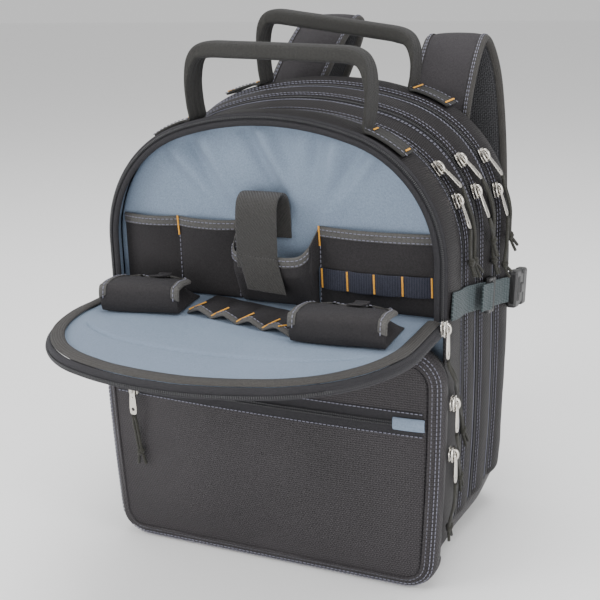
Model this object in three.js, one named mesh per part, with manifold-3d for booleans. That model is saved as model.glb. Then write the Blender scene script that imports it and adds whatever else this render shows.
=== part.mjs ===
// A tool backpack, standing on its base with its front cover unzipped and folded down into a tray.
//
// The bag is a row of sewn bands. Each one follows the bag's arch from one lower corner over the
// top to the other, and a zip runs between each two. A padded panel closes the back. The front
// compartment is open and shows its tool wall, with a zipped pocket below it and the tray on that.
//
// Millimetres. X runs to the right seen from the front, Y from the front to the back, and Z up.
// The origin is the centre of the bag's footprint, on the floor.

import * as THREE from "three";
import { mergeVertices } from "three/addons/utils/BufferGeometryUtils.js";
import Module from "manifold-3d";

const wasm = await Module();
wasm.setup();

// Cloth, webbing and clearance
const FABRIC = 2; // wall of coated nylon with its lining
const GAP = 0.3; // between pieces that touch
const WEBBING = 2.4; // thickness of nylon webbing
const ELASTIC = 1.2; // and of elastic webbing

// The bag's own box
const BODY_DEPTH = 184; // from the open rim to the back panel
const RIM_Y = -BODY_DEPTH / 2;
const BACK_Y = BODY_DEPTH / 2;
const HALF_WIDTH = 165; // half the width at the rim
const HEIGHT = 423; // from the floor to the top of the rim's arch
const SHOULDER_R = 115; // radius of the arch's two shoulders
const CROWN_RISE = 8; // how much the arch rises between its shoulders
const TAPER = 8; // how much each side leans in towards the floor
const TAPER_TOP = 207; // height where that lean starts
const CORNER_R = 30; // lower corners, seen from the front
const BULGE = 4; // how far the front band swells between its seams
const INNER_BULGE = 2; // the same for the two narrow bands between the zips
const REAR_BULGE = 7; // and for the rear band
const BACK_PAD = 10; // padded back panel

// Each row is a seam: its place as a share of the depth, its width and height as shares of the
// rim's, and the radius of its lower corners as a share of CORNER_R.
const SECTIONS = [
  { depth: 0, wide: 1, high: 1, corner: 1 },
  { depth: 0.33, wide: 0.985, high: 0.99, corner: 1.05 },
  { depth: 0.52, wide: 1.01, high: 1.014, corner: 1.15 },
  { depth: 0.735, wide: 1.045, high: 1.028, corner: 1.35 },
  { depth: 1, wide: 1.045, high: 1.022, corner: 1.6 },
];

// Zips
const ZIP_WIDTH = 8; // zip chain and tape between two bands
const CHAIN_RISE = 1.5; // how far the chain stands above the seams
const TAPE_SINK = 0.5; // how far the tape lies below them
const RIM_TAPE = 9; // the rim's half zip, across its face
const RIM_PROUD = 1; // how far it stands out past the rim
const RIM_THICK = 3;

// Zipped pocket below the tray
const POCKET_DEPTH = 24; // how far the pocket's face stands in front of the rim
const POCKET_HALF_WIDTH = 172;
const POCKET_TOP = 233; // height of its top
const POCKET_CORNER_R = 34; // upper corners
const BORDER = 14; // the border strip turns the corner by this much each way
const FACE_BULGE = 6; // how far the face swells forwards
const SLOT_LOW = 153; // lower edge of the flat zip across the face
const SLOT_HEIGHT = 24;
const SLOT_INSET = 2; // between its ends and the border
const SLOT_THICK = 1.4;

// Open front compartment
const WALL_SETBACK = 14; // from the rim to the tool wall
const WALL_POCKET_TOP = 325; // upper edge of the pockets on the tool wall
const WALL_POCKET_SIDE = 156; // outer edge of those pockets, from the middle
const WALL_POCKET_RISE = 8; // how far a filled pocket stands off the wall
const WALL_SEAM = -96; // seam between the two left pockets
const PHONE_LEFT = -33; // the phone pouch's own seams
const PHONE_RIGHT = 45;
const PHONE_DEPTH = 30; // how far the pouch stands off the wall
const PHONE_TOP = 323; // its rim at the wall
const PHONE_DIP = 22; // how far the rim dips at the front
const PHONE_STRAP_WIDTH = 40;
const PHONE_STRAP_X = -1; // middle of the strap that closes the pouch
const PHONE_STRAP_TOP = 356;
const PHONE_STRAP_END = 270; // lower end of the strap
const LOOP_WEB_LOW = 269; // the row of elastic loops on the right
const LOOP_WEB_HEIGHT = 19;
const LOOP_COUNT = 5;
const LOOP_RISE = 2.5; // how far each loop stands off its seams

// Tray
const HINGE_Z = 237; // the fold between the bag's front and the tray
const TRAY_Z = 246; // underside of the lining
const TRAY_STRETCH = 1.085; // the cover is cut a little longer than the opening
const TRAY_PAD = 4; // padding of the lining
const TRAY_BINDING = 12; // binding over the lining's edge
const TRAY_LIP = 9; // how far the zip tape turns down outside it
const TRAY_SIDE = 5; // how far the zip tape stands out past the cover's seam
const FLAP_POUCHES = [
  { side: "left", x: -100, y: RIM_Y - 60, turn: 9, wide: 74 },
  { side: "right", x: 100, y: RIM_Y - 84, turn: 3, wide: 82 },
];
const POUCH_LENGTH = 58; // from the mouth to the seam at the back
const POUCH_HEIGHT = 22; // at the mouth
const FLAP_LENGTH = 40; // how far the flap lies over the pouch
const FLAP_TIP_R = 16; // its rounded corners
const TOOL_LOOPS = { left: { x: -60, y: RIM_Y - 46 }, right: { x: 54, y: RIM_Y - 76 }, count: 4, reach: 40 };
const TOOL_LOOP_RISE = 9;

// Carry handles: where the two legs are sewn down, and the grip's height over the arch
const HANDLE_WEB = 31; // width of the webbing
const HANDLE_SEWN = 42; // length that is sewn down along the arch
const GRIP_WIDTH = 20; // the webbing is folded over itself at the grip
const GRIP_THICK = 8;
// Each row is a point of the right half: its place out from the handle's middle as a share of leg,
// its height as a share of the handle's rise, and how far it is folded from flat webbing to the grip.
const HANDLE_SHAPE = [
  { out: 1.02, up: 0.22, fold: 0 },
  { out: 1.03, up: 0.52, fold: 0.2 },
  { out: 0.93, up: 0.82, fold: 0.7 },
  { out: 0.72, up: 0.97, fold: 1 },
  { out: 0.35, up: 1, fold: 1 },
];
// The legs leave the arch at a distance of leg from the handle's middle, which is moved to the right
// by shift. The grip sags to the right by slope.
const HANDLES = [
  { name: "handle_front", y: -72, rise: 68, leg: 83, shift: 7, slope: 0.06 },
  { name: "handle_rear", y: 68, rise: 64, leg: 78, shift: 6, slope: 0.1 },
];

// Shoulder straps
const STRAP_WIDTH = 62;
const STRAP_PAD = 11;
const STRAP_WEB = 25; // webbing below the padding
const STRAP_END = 175; // height where the padding ends
const STRAP_ANCHOR_X = 132; // the webbing's seam at the lower corner
const STRAP_ANCHOR_Z = 50;
// Each row is a point of a strap's middle line: its place to the side as a share of the half width,
// how far behind the back panel, as a share of the body's depth, and its height as a share of the
// rim's. The lowest one is at STRAP_END. The left strap leans in towards its fold.
const STRAP_LINES = {
  left: [
    { side: 0.44, back: 0.001, high: 0.86 },
    { side: 0.4, back: 0.006, high: 0.95 },
    { side: 0.34, back: 0.05, high: 1.03 },
    { side: 0.24, back: 0.13, high: 1.12 },
    { side: 0.18, back: 0.22, high: 1.16 },
    { side: 0.21, back: 0.32, high: 1.12 },
    { side: 0.32, back: 0.37, high: 1.03 },
    { side: 0.5, back: 0.375, high: 0.88 },
    { side: 0.66, back: 0.34, high: 0.71 },
    { side: 0.76, back: 0.28, high: 0.54 },
  ],
  right: [
    { side: 0.58, back: 0.001, high: 0.86 },
    { side: 0.59, back: 0.006, high: 0.95 },
    { side: 0.605, back: 0.05, high: 1.02 },
    { side: 0.62, back: 0.13, high: 1.085 },
    { side: 0.635, back: 0.22, high: 1.115 },
    { side: 0.66, back: 0.31, high: 1.075 },
    { side: 0.69, back: 0.35, high: 1.0 },
    { side: 0.72, back: 0.36, high: 0.86 },
    { side: 0.745, back: 0.33, high: 0.7 },
    { side: 0.77, back: 0.28, high: 0.54 },
  ],
};
const ADJUSTER = { wide: 36, long: 30, thick: 6 };

// Side straps
const SIDE_WEB = 25; // width of the webbing
const SIDE_FRONT_Z = 265; // its height at the rim
const SIDE_SLOPE = -0.17; // how much it falls towards the back
const SLIDE = { at: 17, long: 20, high: 33, thick: 6 };
const BUCKLE = { at: 92, long: 46, high: 38, thick: 10 };
const ANCHOR_LENGTH = 40; // webbing from the buckle round to the back panel
const SIDE_START = RIM_Y + 6; // sewn in just behind the rim

// Zip sliders: a body on the chain, a bridge and a hanging tab with a hole for its cord
const SLIDER = { long: 13, wide: 9, thick: 4.5, bridge: 3 };
const TAB = { long: 27, wide: 7, thick: 1.6, hole: 2.2 };
const POCKET_SLIDERS = [
  { name: "slider_pocket_upper", z: 181 },
  { name: "slider_pocket_lower", z: 133 },
];
const TRAY_SLIDER_REACH = 8; // from the hinge, along the tray's right edge
const SLOT_SLIDER_X = -132;

// Pull cords: both strands of a tied loop hang side by side, with a knot and short tails below
const PAIR = 5; // the two strands together
const KNOT = 9;
const CORD_START = 1.05; // from the end of a slider's tab to its cord
const CORD_SIDES = 8;
const CORD_STEP = 12; // length of one step of a cord's solid

// Steps of each stretch of an outline
const SIDE_STEPS = 4;
const SHOULDER_STEPS = 8;
const CROWN_STEPS = 3;
const CORNER_STEPS = 4;

const group = new THREE.Group();
group.name = "tool_backpack";

const COLOURS = {
  nylon: [0x2b292c, 0.75, 0],
  lining: [0x7b8a9a, 0.9, 0],
  black_cloth: [0x1d1c1d, 0.85, 0],
  webbing: [0x2a2a26, 0.85, 0],
  grey_webbing: [0x5c6e72, 0.7, 0],
  zip: [0x151416, 0.7, 0],
  navy: [0x23262f, 0.8, 0],
  plastic: [0x26272a, 0.45, 0],
  nickel: [0xd8cdb4, 0.25, 1],
  cord: [0x1e1f1b, 0.9, 0],
};

function addPiece(name, geometry, finish) {
  const [color, roughness, metalness] = COLOURS[finish];
  const mesh = new THREE.Mesh(geometry, new THREE.MeshStandardMaterial({ color, roughness, metalness }));
  mesh.name = name;
  group.add(mesh);
  return mesh;
}

const vec = (x, y, z) => new THREE.Vector3(x, y, z);
const mix = (a, b, t) => a + (b - a) * t;
const steps = (count) => Array.from({ length: count + 1 }, (_, i) => i / count);

// Solids from grids and rings of points

function signedVolume(points, faces) {
  let volume = 0;
  for (let i = 0; i < faces.length; i += 3) {
    const [a, b, c] = [points[faces[i]], points[faces[i + 1]], points[faces[i + 2]]];
    volume += a.dot(b.clone().cross(c)) / 6;
  }
  return volume;
}

function solidFrom(points, faces) {
  if (signedVolume(points, faces) < 0) {
    for (let i = 0; i < faces.length; i += 3) [faces[i], faces[i + 1]] = [faces[i + 1], faces[i]];
  }
  const geometry = new THREE.BufferGeometry().setFromPoints(points);
  geometry.setIndex(faces);
  geometry.computeVertexNormals();
  return geometry;
}

// A closed wall between two grids of points, rows by columns. A wall that is joined end to end has
// its last column meet its first.
function wallBetween(outer, inner, joined = false) {
  const rows = outer.length;
  const cols = outer[0].length;
  const points = [...outer.flat(), ...inner.flat()];
  const at = (layer, i, j) => layer * rows * cols + i * cols + (j % cols);
  const faces = [];
  const quad = (a, b, c, d) => faces.push(a, b, c, a, c, d);
  const lastCol = joined ? cols : cols - 1;
  for (let j = 0; j < lastCol; j++) {
    for (let i = 0; i < rows - 1; i++) {
      quad(at(0, i, j), at(0, i, j + 1), at(0, i + 1, j + 1), at(0, i + 1, j));
      quad(at(1, i, j), at(1, i + 1, j), at(1, i + 1, j + 1), at(1, i, j + 1));
    }
    quad(at(0, 0, j), at(1, 0, j), at(1, 0, j + 1), at(0, 0, j + 1));
    quad(at(0, rows - 1, j), at(0, rows - 1, j + 1), at(1, rows - 1, j + 1), at(1, rows - 1, j));
  }
  for (let i = 0; i < rows - 1 && !joined; i++) {
    quad(at(0, i, 0), at(0, i + 1, 0), at(1, i + 1, 0), at(1, i, 0));
    quad(at(0, i, cols - 1), at(1, i, cols - 1), at(1, i + 1, cols - 1), at(0, i + 1, cols - 1));
  }
  return solidFrom(points, faces);
}

// A closed solid through a row of rings with the same number of points each.
function loft(rings) {
  const size = rings[0].length;
  const points = rings.flat();
  const faces = [];
  for (let i = 0; i < rings.length - 1; i++) {
    for (let j = 0; j < size; j++) {
      const [a, b] = [i * size + j, i * size + ((j + 1) % size)];
      faces.push(a, b, b + size, a, b + size, a + size);
    }
  }
  const last = (rings.length - 1) * size;
  for (let j = 1; j < size - 1; j++) {
    faces.push(0, j + 1, j);
    faces.push(last, last + j, last + j + 1);
  }
  return solidFrom(points, faces);
}

// A strip along a line of points. across is the way its width runs; wide and thick may be one number
// or one for each point, and the profile is its section, from -1 to 1 each way.
const FLAT = [
  [-1, -1],
  [1, -1],
  [1, 1],
  [-1, 1],
];
function strip(line, across, wide, thick, profile = FLAT) {
  const pick = (value, i) => (Array.isArray(value) ? value[i] : value);
  const side = across.clone().normalize();
  const rings = line.map((p, i) => {
    const ahead = line[Math.min(i + 1, line.length - 1)].clone();
    const along = ahead.sub(line[Math.max(i - 1, 0)]).normalize();
    const up = side.clone().cross(along).normalize();
    const [half, rise] = [pick(wide, i) / 2, pick(thick, i) / 2];
    return profile.map(([s, t]) => p.clone().addScaledVector(side, s * half).addScaledVector(up, t * rise));
  });
  return loft(rings);
}

function toSolid(geometry) {
  const bare = new THREE.BufferGeometry().setAttribute("position", geometry.getAttribute("position"));
  if (geometry.index) bare.setIndex(geometry.index);
  const merged = mergeVertices(bare, 1e-4);
  const mesh = new wasm.Mesh({
    numProp: 3,
    vertProperties: new Float32Array(merged.attributes.position.array),
    triVerts: new Uint32Array(merged.index.array),
  });
  return new wasm.Manifold(mesh);
}

function toGeometry(solid) {
  const { vertProperties, triVerts } = solid.getMesh();
  const geometry = new THREE.BufferGeometry();
  geometry.setAttribute("position", new THREE.BufferAttribute(vertProperties, 3));
  geometry.setIndex(new THREE.BufferAttribute(triVerts, 1));
  geometry.computeVertexNormals();
  return geometry;
}

const joinAll = (geometries) => toGeometry(geometries.map(toSolid).reduce((a, b) => a.add(b)));

// Outlines of the bag, seen from the front

// Width and height of the bag at a depth, straight between its seams.
function sectionAt(y) {
  const share = Math.min(Math.max((y - RIM_Y) / BODY_DEPTH, 0), 1);
  const k = Math.max(1, SECTIONS.findIndex((row, i) => i > 0 && share <= row.depth + 1e-9));
  const [a, b] = [SECTIONS[k - 1], SECTIONS[k]];
  const t = (share - a.depth) / (b.depth - a.depth);
  return {
    w: HALF_WIDTH * mix(a.wide, b.wide, t),
    h: HEIGHT * mix(a.high, b.high, t),
    corner: CORNER_R * mix(a.corner, b.corner, t),
  };
}

const leanAt = (z) => TAPER * Math.max(0, 1 - z / TAPER_TOP) ** 2;

// The arch from its left foot over the top to its right foot, moved outwards by a distance.
function archPath(w, h, foot, out = 0) {
  const drop = SHOULDER_R + CROWN_RISE;
  const spring = h - drop;
  const inset = w - SHOULDER_R;
  const crownR = (inset ** 2 + drop ** 2 - SHOULDER_R ** 2) / (2 * (drop - SHOULDER_R));
  const crownHalf = Math.atan2(inset, crownR - drop);
  const right = [];
  for (const t of steps(SIDE_STEPS)) {
    const z = mix(foot, spring, t);
    right.push({ x: w - leanAt(z) + out, z });
  }
  for (const t of steps(SHOULDER_STEPS).slice(1)) {
    const a = t * (Math.PI / 2 - crownHalf);
    const r = SHOULDER_R + out;
    right.push({ x: inset + r * Math.cos(a), z: spring + r * Math.sin(a) });
  }
  for (const t of steps(CROWN_STEPS).slice(1)) {
    const a = crownHalf * (1 - t);
    const r = crownR + out;
    right.push({ x: r * Math.sin(a), z: h - crownR + r * Math.cos(a) });
  }
  const left = right.slice(0, -1).map(({ x, z }) => ({ x: -x, z }));
  return [...left, ...right.reverse()];
}

// The lower corners and the bottom, from the left foot to the right one.
function basePath(w, corner, out = 0) {
  const x = w - leanAt(corner) - corner;
  const right = steps(CORNER_STEPS).map((t) => {
    const a = (t * Math.PI) / 2;
    const r = corner + out;
    return { x: x + r * Math.cos(a), z: corner - r * Math.sin(a) };
  });
  return [...right.map((p) => ({ x: -p.x, z: p.z })), ...right.reverse()];
}

const onPlane = (path, y) => path.map(({ x, z }) => vec(x, y, z));

// An upright plate of cloth with its front face at y, inside a closed outline of x and z.
function plate(outline, y, thick) {
  const shape = new THREE.Shape(outline.map(({ x, z }) => new THREE.Vector2(x, z)));
  const geometry = new THREE.ExtrudeGeometry(shape, { depth: thick, bevelEnabled: false });
  return geometry.rotateX(Math.PI / 2).translate(0, y + thick, 0);
}

// The bands and the zips between them

const ZIP_DEPTHS = SECTIONS.slice(1, 4).map((row) => RIM_Y + BODY_DEPTH * row.depth);
const [ZIP_FRONT_Y, ZIP_MID_Y, ZIP_REAR_Y] = ZIP_DEPTHS;

const SEAM = ZIP_WIDTH / 2; // from the middle of a zip to the bands beside it

const BANDS = {
  band_front: { from: RIM_Y, to: ZIP_FRONT_Y - SEAM, bulge: BULGE },
  band_middle_front: { from: ZIP_FRONT_Y + SEAM, to: ZIP_MID_Y - SEAM, bulge: INNER_BULGE },
  band_middle_rear: { from: ZIP_MID_Y + SEAM, to: ZIP_REAR_Y - SEAM, bulge: INNER_BULGE },
  band_rear: { from: ZIP_REAR_Y + SEAM, to: BACK_Y, bulge: REAR_BULGE },
};
const bandAt = (y) => Object.values(BANDS).find(({ from, to }) => y >= from && y <= to);

// How far a band swells at a depth: nothing at its seams, its bulge in the middle.
const swellAt = (band, y) => band.bulge * (1 - Math.abs((2 * (y - band.from)) / (band.to - band.from) - 1));

function addBand(name, band) {
  const rows = [band.from, (band.from + band.to) / 2, band.to];
  const grid = (inset) =>
    rows.map((y) => {
      const { w, h, corner } = sectionAt(y);
      return onPlane(archPath(w, h, corner + GAP, swellAt(band, y) - inset), y);
    });
  addPiece(name, wallBetween(grid(0), grid(FABRIC)), "nylon");
}
for (const [name, band] of Object.entries(BANDS)) addBand(name, band);

function addZip(name, y) {
  const half = SEAM - GAP;
  const { w, h, corner } = sectionAt(y);
  const foot = corner + 2 * GAP;
  const grid = (rises) => [-half, 0, half].map((dy, i) => onPlane(archPath(w, h, foot, rises[i]), y + dy));
  const outer = grid([-TAPE_SINK, CHAIN_RISE, -TAPE_SINK]);
  const inner = grid([-TAPE_SINK - FABRIC, -TAPE_SINK - FABRIC, -TAPE_SINK - FABRIC]);
  addPiece(name, wallBetween(outer, inner), "zip");
}
addZip("zip_front", ZIP_FRONT_Y);
addZip("zip_middle", ZIP_MID_Y);
addZip("zip_rear", ZIP_REAR_Y);

// The zipped pocket below the tray

const BORDER_Y = RIM_Y - POCKET_DEPTH + BORDER;
const FACE_Y = RIM_Y - POCKET_DEPTH;
const POCKET_CORNER_STEPS = 5;
const BORDER_BEND = { inset: BORDER * 0.35, y: FACE_Y + BORDER * 0.25 };

// The pocket's outline from its left foot over its flat top to its right foot, moved inwards.
function pocketPath(inset, foot) {
  const w = POCKET_HALF_WIDTH - inset;
  const top = POCKET_TOP - inset;
  const r = POCKET_CORNER_R - inset;
  const right = steps(SIDE_STEPS).map((t) => {
    const z = mix(foot, top - r, t);
    return { x: w - leanAt(z), z };
  });
  for (const t of steps(POCKET_CORNER_STEPS).slice(1)) {
    const a = (t * Math.PI) / 2;
    right.push({ x: w - r - leanAt(top - r) + r * Math.cos(a), z: top - r + r * Math.sin(a) });
  }
  return [...right.map((p) => ({ x: -p.x, z: p.z })), ...right.reverse()];
}

// The same outline closed round the pocket's bottom.
function pocketLoop(inset) {
  const bottom = basePath(POCKET_HALF_WIDTH, CORNER_R, -inset).reverse();
  return [...pocketPath(inset, CORNER_R), ...bottom.slice(1, -1)];
}

function addPocketBorder() {
  const grid = (inset, back) => [
    onPlane(pocketLoop(inset), BORDER_Y),
    onPlane(pocketLoop(BORDER_BEND.inset + inset), BORDER_BEND.y + back),
    onPlane(pocketLoop(BORDER), FACE_Y + back),
  ];
  addPiece("pocket_border", wallBetween(grid(0, 0), grid(FABRIC, FABRIC), true), "nylon");
}
addPocketBorder();

// The face swells between the border strips.
const FACE_MIDDLE_Z = POCKET_TOP / 2;
const FACE_HALF_WIDTH = POCKET_HALF_WIDTH - BORDER;
function faceY(x, z) {
  const side = Math.min(1, Math.abs(x) / FACE_HALF_WIDTH);
  const high = Math.min(1, Math.abs(z - FACE_MIDDLE_Z) / (FACE_MIDDLE_Z - BORDER));
  return FACE_Y - FACE_BULGE * (1 - side ** 2) * (1 - high ** 2);
}

const FACE_RINGS = [0.15, 0.4, 0.65, 0.85, 1];
function addPocketFace() {
  const edge = pocketLoop(BORDER + GAP);
  const ring = (share, back) =>
    edge.map((p) => {
      const [x, z] = [p.x * share, mix(FACE_MIDDLE_Z, p.z, share)];
      return vec(x, faceY(x, z) + back, z);
    });
  const front = FACE_RINGS.map((share) => ring(share, 0));
  const back = FACE_RINGS.map((share) => ring(share, FABRIC));
  addPiece("pocket_face", loft([...front, ...back.reverse()]), "nylon");
}
addPocketFace();

// The pocket's own zip runs round its sides and top, between the border and the bag.
const POCKET_STEP = POCKET_HALF_WIDTH - HALF_WIDTH; // how much wider the pocket is than the rim
function addPocketZip() {
  const grid = (inset) => [
    onPlane(pocketPath(POCKET_STEP + inset, CORNER_R + GAP), RIM_Y - GAP),
    onPlane(pocketPath(inset, CORNER_R + GAP), BORDER_Y + GAP),
  ];
  addPiece("pocket_zip", wallBetween(grid(0), grid(FABRIC)), "zip");
}
addPocketZip();

// A flat zip lies across the pocket's face, over the cloth.
const SLOT_COLUMNS = 10;
const SLOT_CLEAR = 0.7; // lies on the swollen face, clear of its facets
function addSlotZip() {
  const grid = (lift, chain) =>
    [0, 0.5, 1].map((v) => {
      const z = SLOT_LOW + SLOT_HEIGHT * v;
      return steps(SLOT_COLUMNS).map((u) => {
        const x = mix(-1, 1, u) * (FACE_HALF_WIDTH - leanAt(SLOT_LOW) - SLOT_INSET);
        return vec(x, faceY(x, z) - lift - (v === 0.5 ? chain : 0), z);
      });
    });
  addPiece("slot_zip", wallBetween(grid(SLOT_CLEAR + SLOT_THICK, CHAIN_RISE), grid(SLOT_CLEAR, 0)), "zip");
}
addSlotZip();

// Base panel: the bottom and the lower corners of the whole bag, in one piece of cloth.
function addBasePanel() {
  const grid = (inset) => {
    const front = onPlane(basePath(POCKET_HALF_WIDTH, CORNER_R, -inset), BORDER_Y + GAP);
    const rows = SECTIONS.map((row) => {
      const y = RIM_Y + BODY_DEPTH * row.depth;
      const { w, corner } = sectionAt(y);
      return onPlane(basePath(w, corner, -inset), y);
    });
    return [front, ...rows];
  };
  addPiece("base_panel", wallBetween(grid(0), grid(FABRIC)), "nylon");
}
addBasePanel();

// Panels that close the bag, and the inside of the open front

function closedOutline(y, inset, band) {
  const { w, h, corner } = sectionAt(y);
  const arch = archPath(w, h, corner + GAP, (band ? swellAt(band, y) : 0) - inset);
  return [...arch, ...basePath(w, corner, -inset).reverse()];
}

const PANEL_Y = BACK_Y + GAP + BACK_PAD; // rear face of the back panel
addPiece("back_panel", plate(closedOutline(BACK_Y, 0), BACK_Y + GAP, BACK_PAD), "nylon");

const WALL_Y = RIM_Y + WALL_SETBACK;
const wallOutline = closedOutline(WALL_Y, FABRIC + GAP, BANDS.band_front);
addPiece("tool_wall", plate(wallOutline, WALL_Y, FABRIC), "lining");

// The half zip along the open rim, with its tape turned towards the lining.
const TRAY_TOP = TRAY_Z + TRAY_PAD;
const RIM_FOOT = TRAY_TOP + GAP + FABRIC + GAP;
const RIM_FRONT = RIM_Y - GAP - RIM_THICK;
function addRimZip() {
  const { w, h } = sectionAt(RIM_Y);
  const row = (out, y) => onPlane(archPath(w, h, RIM_FOOT, out), y);
  const middle = -RIM_TAPE / 2;
  const outer = [row(RIM_PROUD, RIM_FRONT + 1), row(middle, RIM_FRONT), row(-RIM_TAPE, RIM_FRONT + 1)];
  const inner = [RIM_PROUD, middle, -RIM_TAPE].map((out) => row(out, RIM_Y - GAP));
  addPiece("rim_zip", wallBetween(outer, inner), "zip");
}
addRimZip();

// Pockets on the tool wall: a sheet that is sewn down along its seams and bottom and stands off
// the wall between them.
const POCKET_FOOT = TRAY_TOP + GAP;
const POCKET_ROWS = 3;
const POCKET_COLUMNS = 4;

function wallPocketRise(x, z, seams) {
  const k = Math.min(seams.length - 2, Math.max(0, seams.findIndex((seam) => x < seam) - 1));
  const u = (x - seams[k]) / (seams[k + 1] - seams[k]);
  const v = (z - POCKET_FOOT) / (WALL_POCKET_TOP - POCKET_FOOT);
  return WALL_POCKET_RISE * Math.max(0, Math.sin(Math.PI * u)) * Math.sqrt(v);
}
const wallPocketY = (x, z, seams) => WALL_Y - GAP - FABRIC - wallPocketRise(x, z, seams);

function addWallPocket(name, seams) {
  const xs = [seams[0]];
  for (let k = 0; k < seams.length - 1; k++) {
    xs.push(...steps(POCKET_COLUMNS).slice(1).map((u) => mix(seams[k], seams[k + 1], u)));
  }
  const grid = (back) =>
    steps(POCKET_ROWS).map((v) => {
      const z = mix(POCKET_FOOT, WALL_POCKET_TOP, v);
      return xs.map((x) => vec(x, wallPocketY(x, z, seams) + back, z));
    });
  addPiece(name, wallBetween(grid(0), grid(FABRIC)), "black_cloth");
}
const LEFT_SEAMS = [-WALL_POCKET_SIDE, WALL_SEAM, PHONE_LEFT];
const RIGHT_SEAMS = [PHONE_RIGHT, WALL_POCKET_SIDE];
addWallPocket("wall_pocket_left", LEFT_SEAMS);
addWallPocket("wall_pocket_right", RIGHT_SEAMS);

// The phone pouch stands off the wall on bellows sides and tapers to its seam at the bottom.
const PHONE_MIDDLE = (PHONE_LEFT + PHONE_RIGHT) / 2;
const PHONE_HALF = (PHONE_RIGHT - PHONE_LEFT) / 2 - GAP;
const PHONE_PLAN = [
  { side: -1, deep: 0 },
  { side: -0.96, deep: 0.5 },
  { side: -0.8, deep: 0.9 },
  { side: -0.5, deep: 1 },
  { side: 0, deep: 1 },
  { side: 0.5, deep: 1 },
  { side: 0.8, deep: 0.9 },
  { side: 0.96, deep: 0.5 },
  { side: 1, deep: 0 },
];
const PHONE_ROWS = [0, 0.2, 0.45, 0.75, 1];
const phoneDepth = (deep, v) => PHONE_DEPTH * deep * Math.min(1, 0.12 + 1.2 * v ** 0.7);
const PHONE_FRONT_Y = WALL_Y - GAP - FABRIC - PHONE_DEPTH;
function addPhonePouch() {
  const grid = (inset) =>
    PHONE_ROWS.map((v) =>
      PHONE_PLAN.map(({ side, deep }) => {
        const top = PHONE_TOP - PHONE_DIP * deep;
        const x = PHONE_MIDDLE + side * (PHONE_HALF - inset * 0.9);
        return vec(x, WALL_Y - GAP - FABRIC + inset - phoneDepth(deep, v), mix(POCKET_FOOT, top, v));
      }),
    );
  addPiece("phone_pouch", wallBetween(grid(0), grid(FABRIC)), "black_cloth");
}
addPhonePouch();

// Its strap comes up from the wall, over the pouch and down its front.
const STRAP_CLEAR = GAP + WEBBING / 2;
const smooth = (points, count) => new THREE.CatmullRomCurve3(points).getPoints(count);
function addPhoneStrap() {
  const back = WALL_Y - STRAP_CLEAR;
  const front = PHONE_FRONT_Y - STRAP_CLEAR;
  const foot = PHONE_TOP - PHONE_DIP / 2;
  const middle = (back + front) / 2;
  const arch = PHONE_STRAP_TOP - WEBBING / 2;
  const line = smooth(
    [
      vec(PHONE_STRAP_X, back, foot),
      vec(PHONE_STRAP_X, back - WEBBING / 2, mix(foot, arch, 0.55)),
      vec(PHONE_STRAP_X, mix(back, middle, 0.6), mix(foot, arch, 0.95)),
      vec(PHONE_STRAP_X, mix(middle, front, 0.4), arch),
      vec(PHONE_STRAP_X, front, mix(foot, arch, 0.6)),
      vec(PHONE_STRAP_X, front - 0.5, mix(PHONE_STRAP_END, foot, 0.5)),
      vec(PHONE_STRAP_X, front + 0.2, PHONE_STRAP_END),
    ],
    16,
  );
  addPiece("phone_strap", strip(line, vec(1, 0, 0), PHONE_STRAP_WIDTH, WEBBING), "webbing");
}
addPhoneStrap();

// Elastic loops across the right pocket, sewn down between each two.
const LOOP_COLUMNS = 3;
function addLoopWebbing() {
  const count = (LOOP_COUNT - 1) * LOOP_COLUMNS;
  const low = PHONE_RIGHT + GAP * 2;
  const line = steps(count).map((u) => {
    const x = mix(low, WALL_POCKET_SIDE, u);
    const z = LOOP_WEB_LOW + LOOP_WEB_HEIGHT / 2;
    const rise = LOOP_RISE * Math.sin(Math.PI * u * (LOOP_COUNT - 1)) ** 2;
    const face = wallPocketY(x, LOOP_WEB_LOW + LOOP_WEB_HEIGHT, RIGHT_SEAMS);
    return vec(x, face - 2 * GAP - ELASTIC / 2 - rise, z);
  });
  addPiece("loop_webbing", strip(line, vec(0, 0, 1), LOOP_WEB_HEIGHT, ELASTIC), "navy");
}
addLoopWebbing();

// The tray: the front cover, folded down about its hinge

const TRAY_BACK = RIM_FRONT - GAP;
const trayPoint = (x, reach, z) => vec(x, TRAY_BACK - reach, z);
// The cover's edge when it lies flat: the rim's arch, laid down from the hinge.
const trayEdge = (out) => {
  const { w, h } = sectionAt(RIM_Y);
  const flat = archPath(w - TRAY_SIDE, h - TRAY_SIDE, HINGE_Z, out);
  return flat.map(({ x, z }) => ({ x, reach: (z - HINGE_Z) * TRAY_STRETCH }));
};
const TRAY_ROWS = 3;
const trayGrid = (out, z) => {
  const edge = trayEdge(out).slice(SIDE_STEPS, -SIDE_STEPS);
  return steps(TRAY_ROWS).map((t) => edge.map(({ x, reach }) => trayPoint(x, t * reach, z)));
};

// The outer cloth turns down at the hinge to the top of the pocket below.
function addTrayPanel() {
  const edge = trayEdge(-TRAY_SIDE).slice(SIDE_STEPS, -SIDE_STEPS);
  const hinge = (y, z) => edge.map(({ x }) => vec(x, y, z));
  const foot = POCKET_TOP - POCKET_STEP / 2;
  const y = RIM_Y - GAP;
  const top = [hinge(y, foot), hinge(y, TRAY_Z - GAP), ...trayGrid(-TRAY_SIDE, TRAY_Z - GAP)];
  const low = TRAY_Z - GAP - FABRIC;
  const under = [hinge(y - FABRIC, foot), hinge(y - FABRIC, low), ...trayGrid(-TRAY_SIDE, low)];
  addPiece("tray_panel", wallBetween(top, under), "nylon");
}
addTrayPanel();

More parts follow.
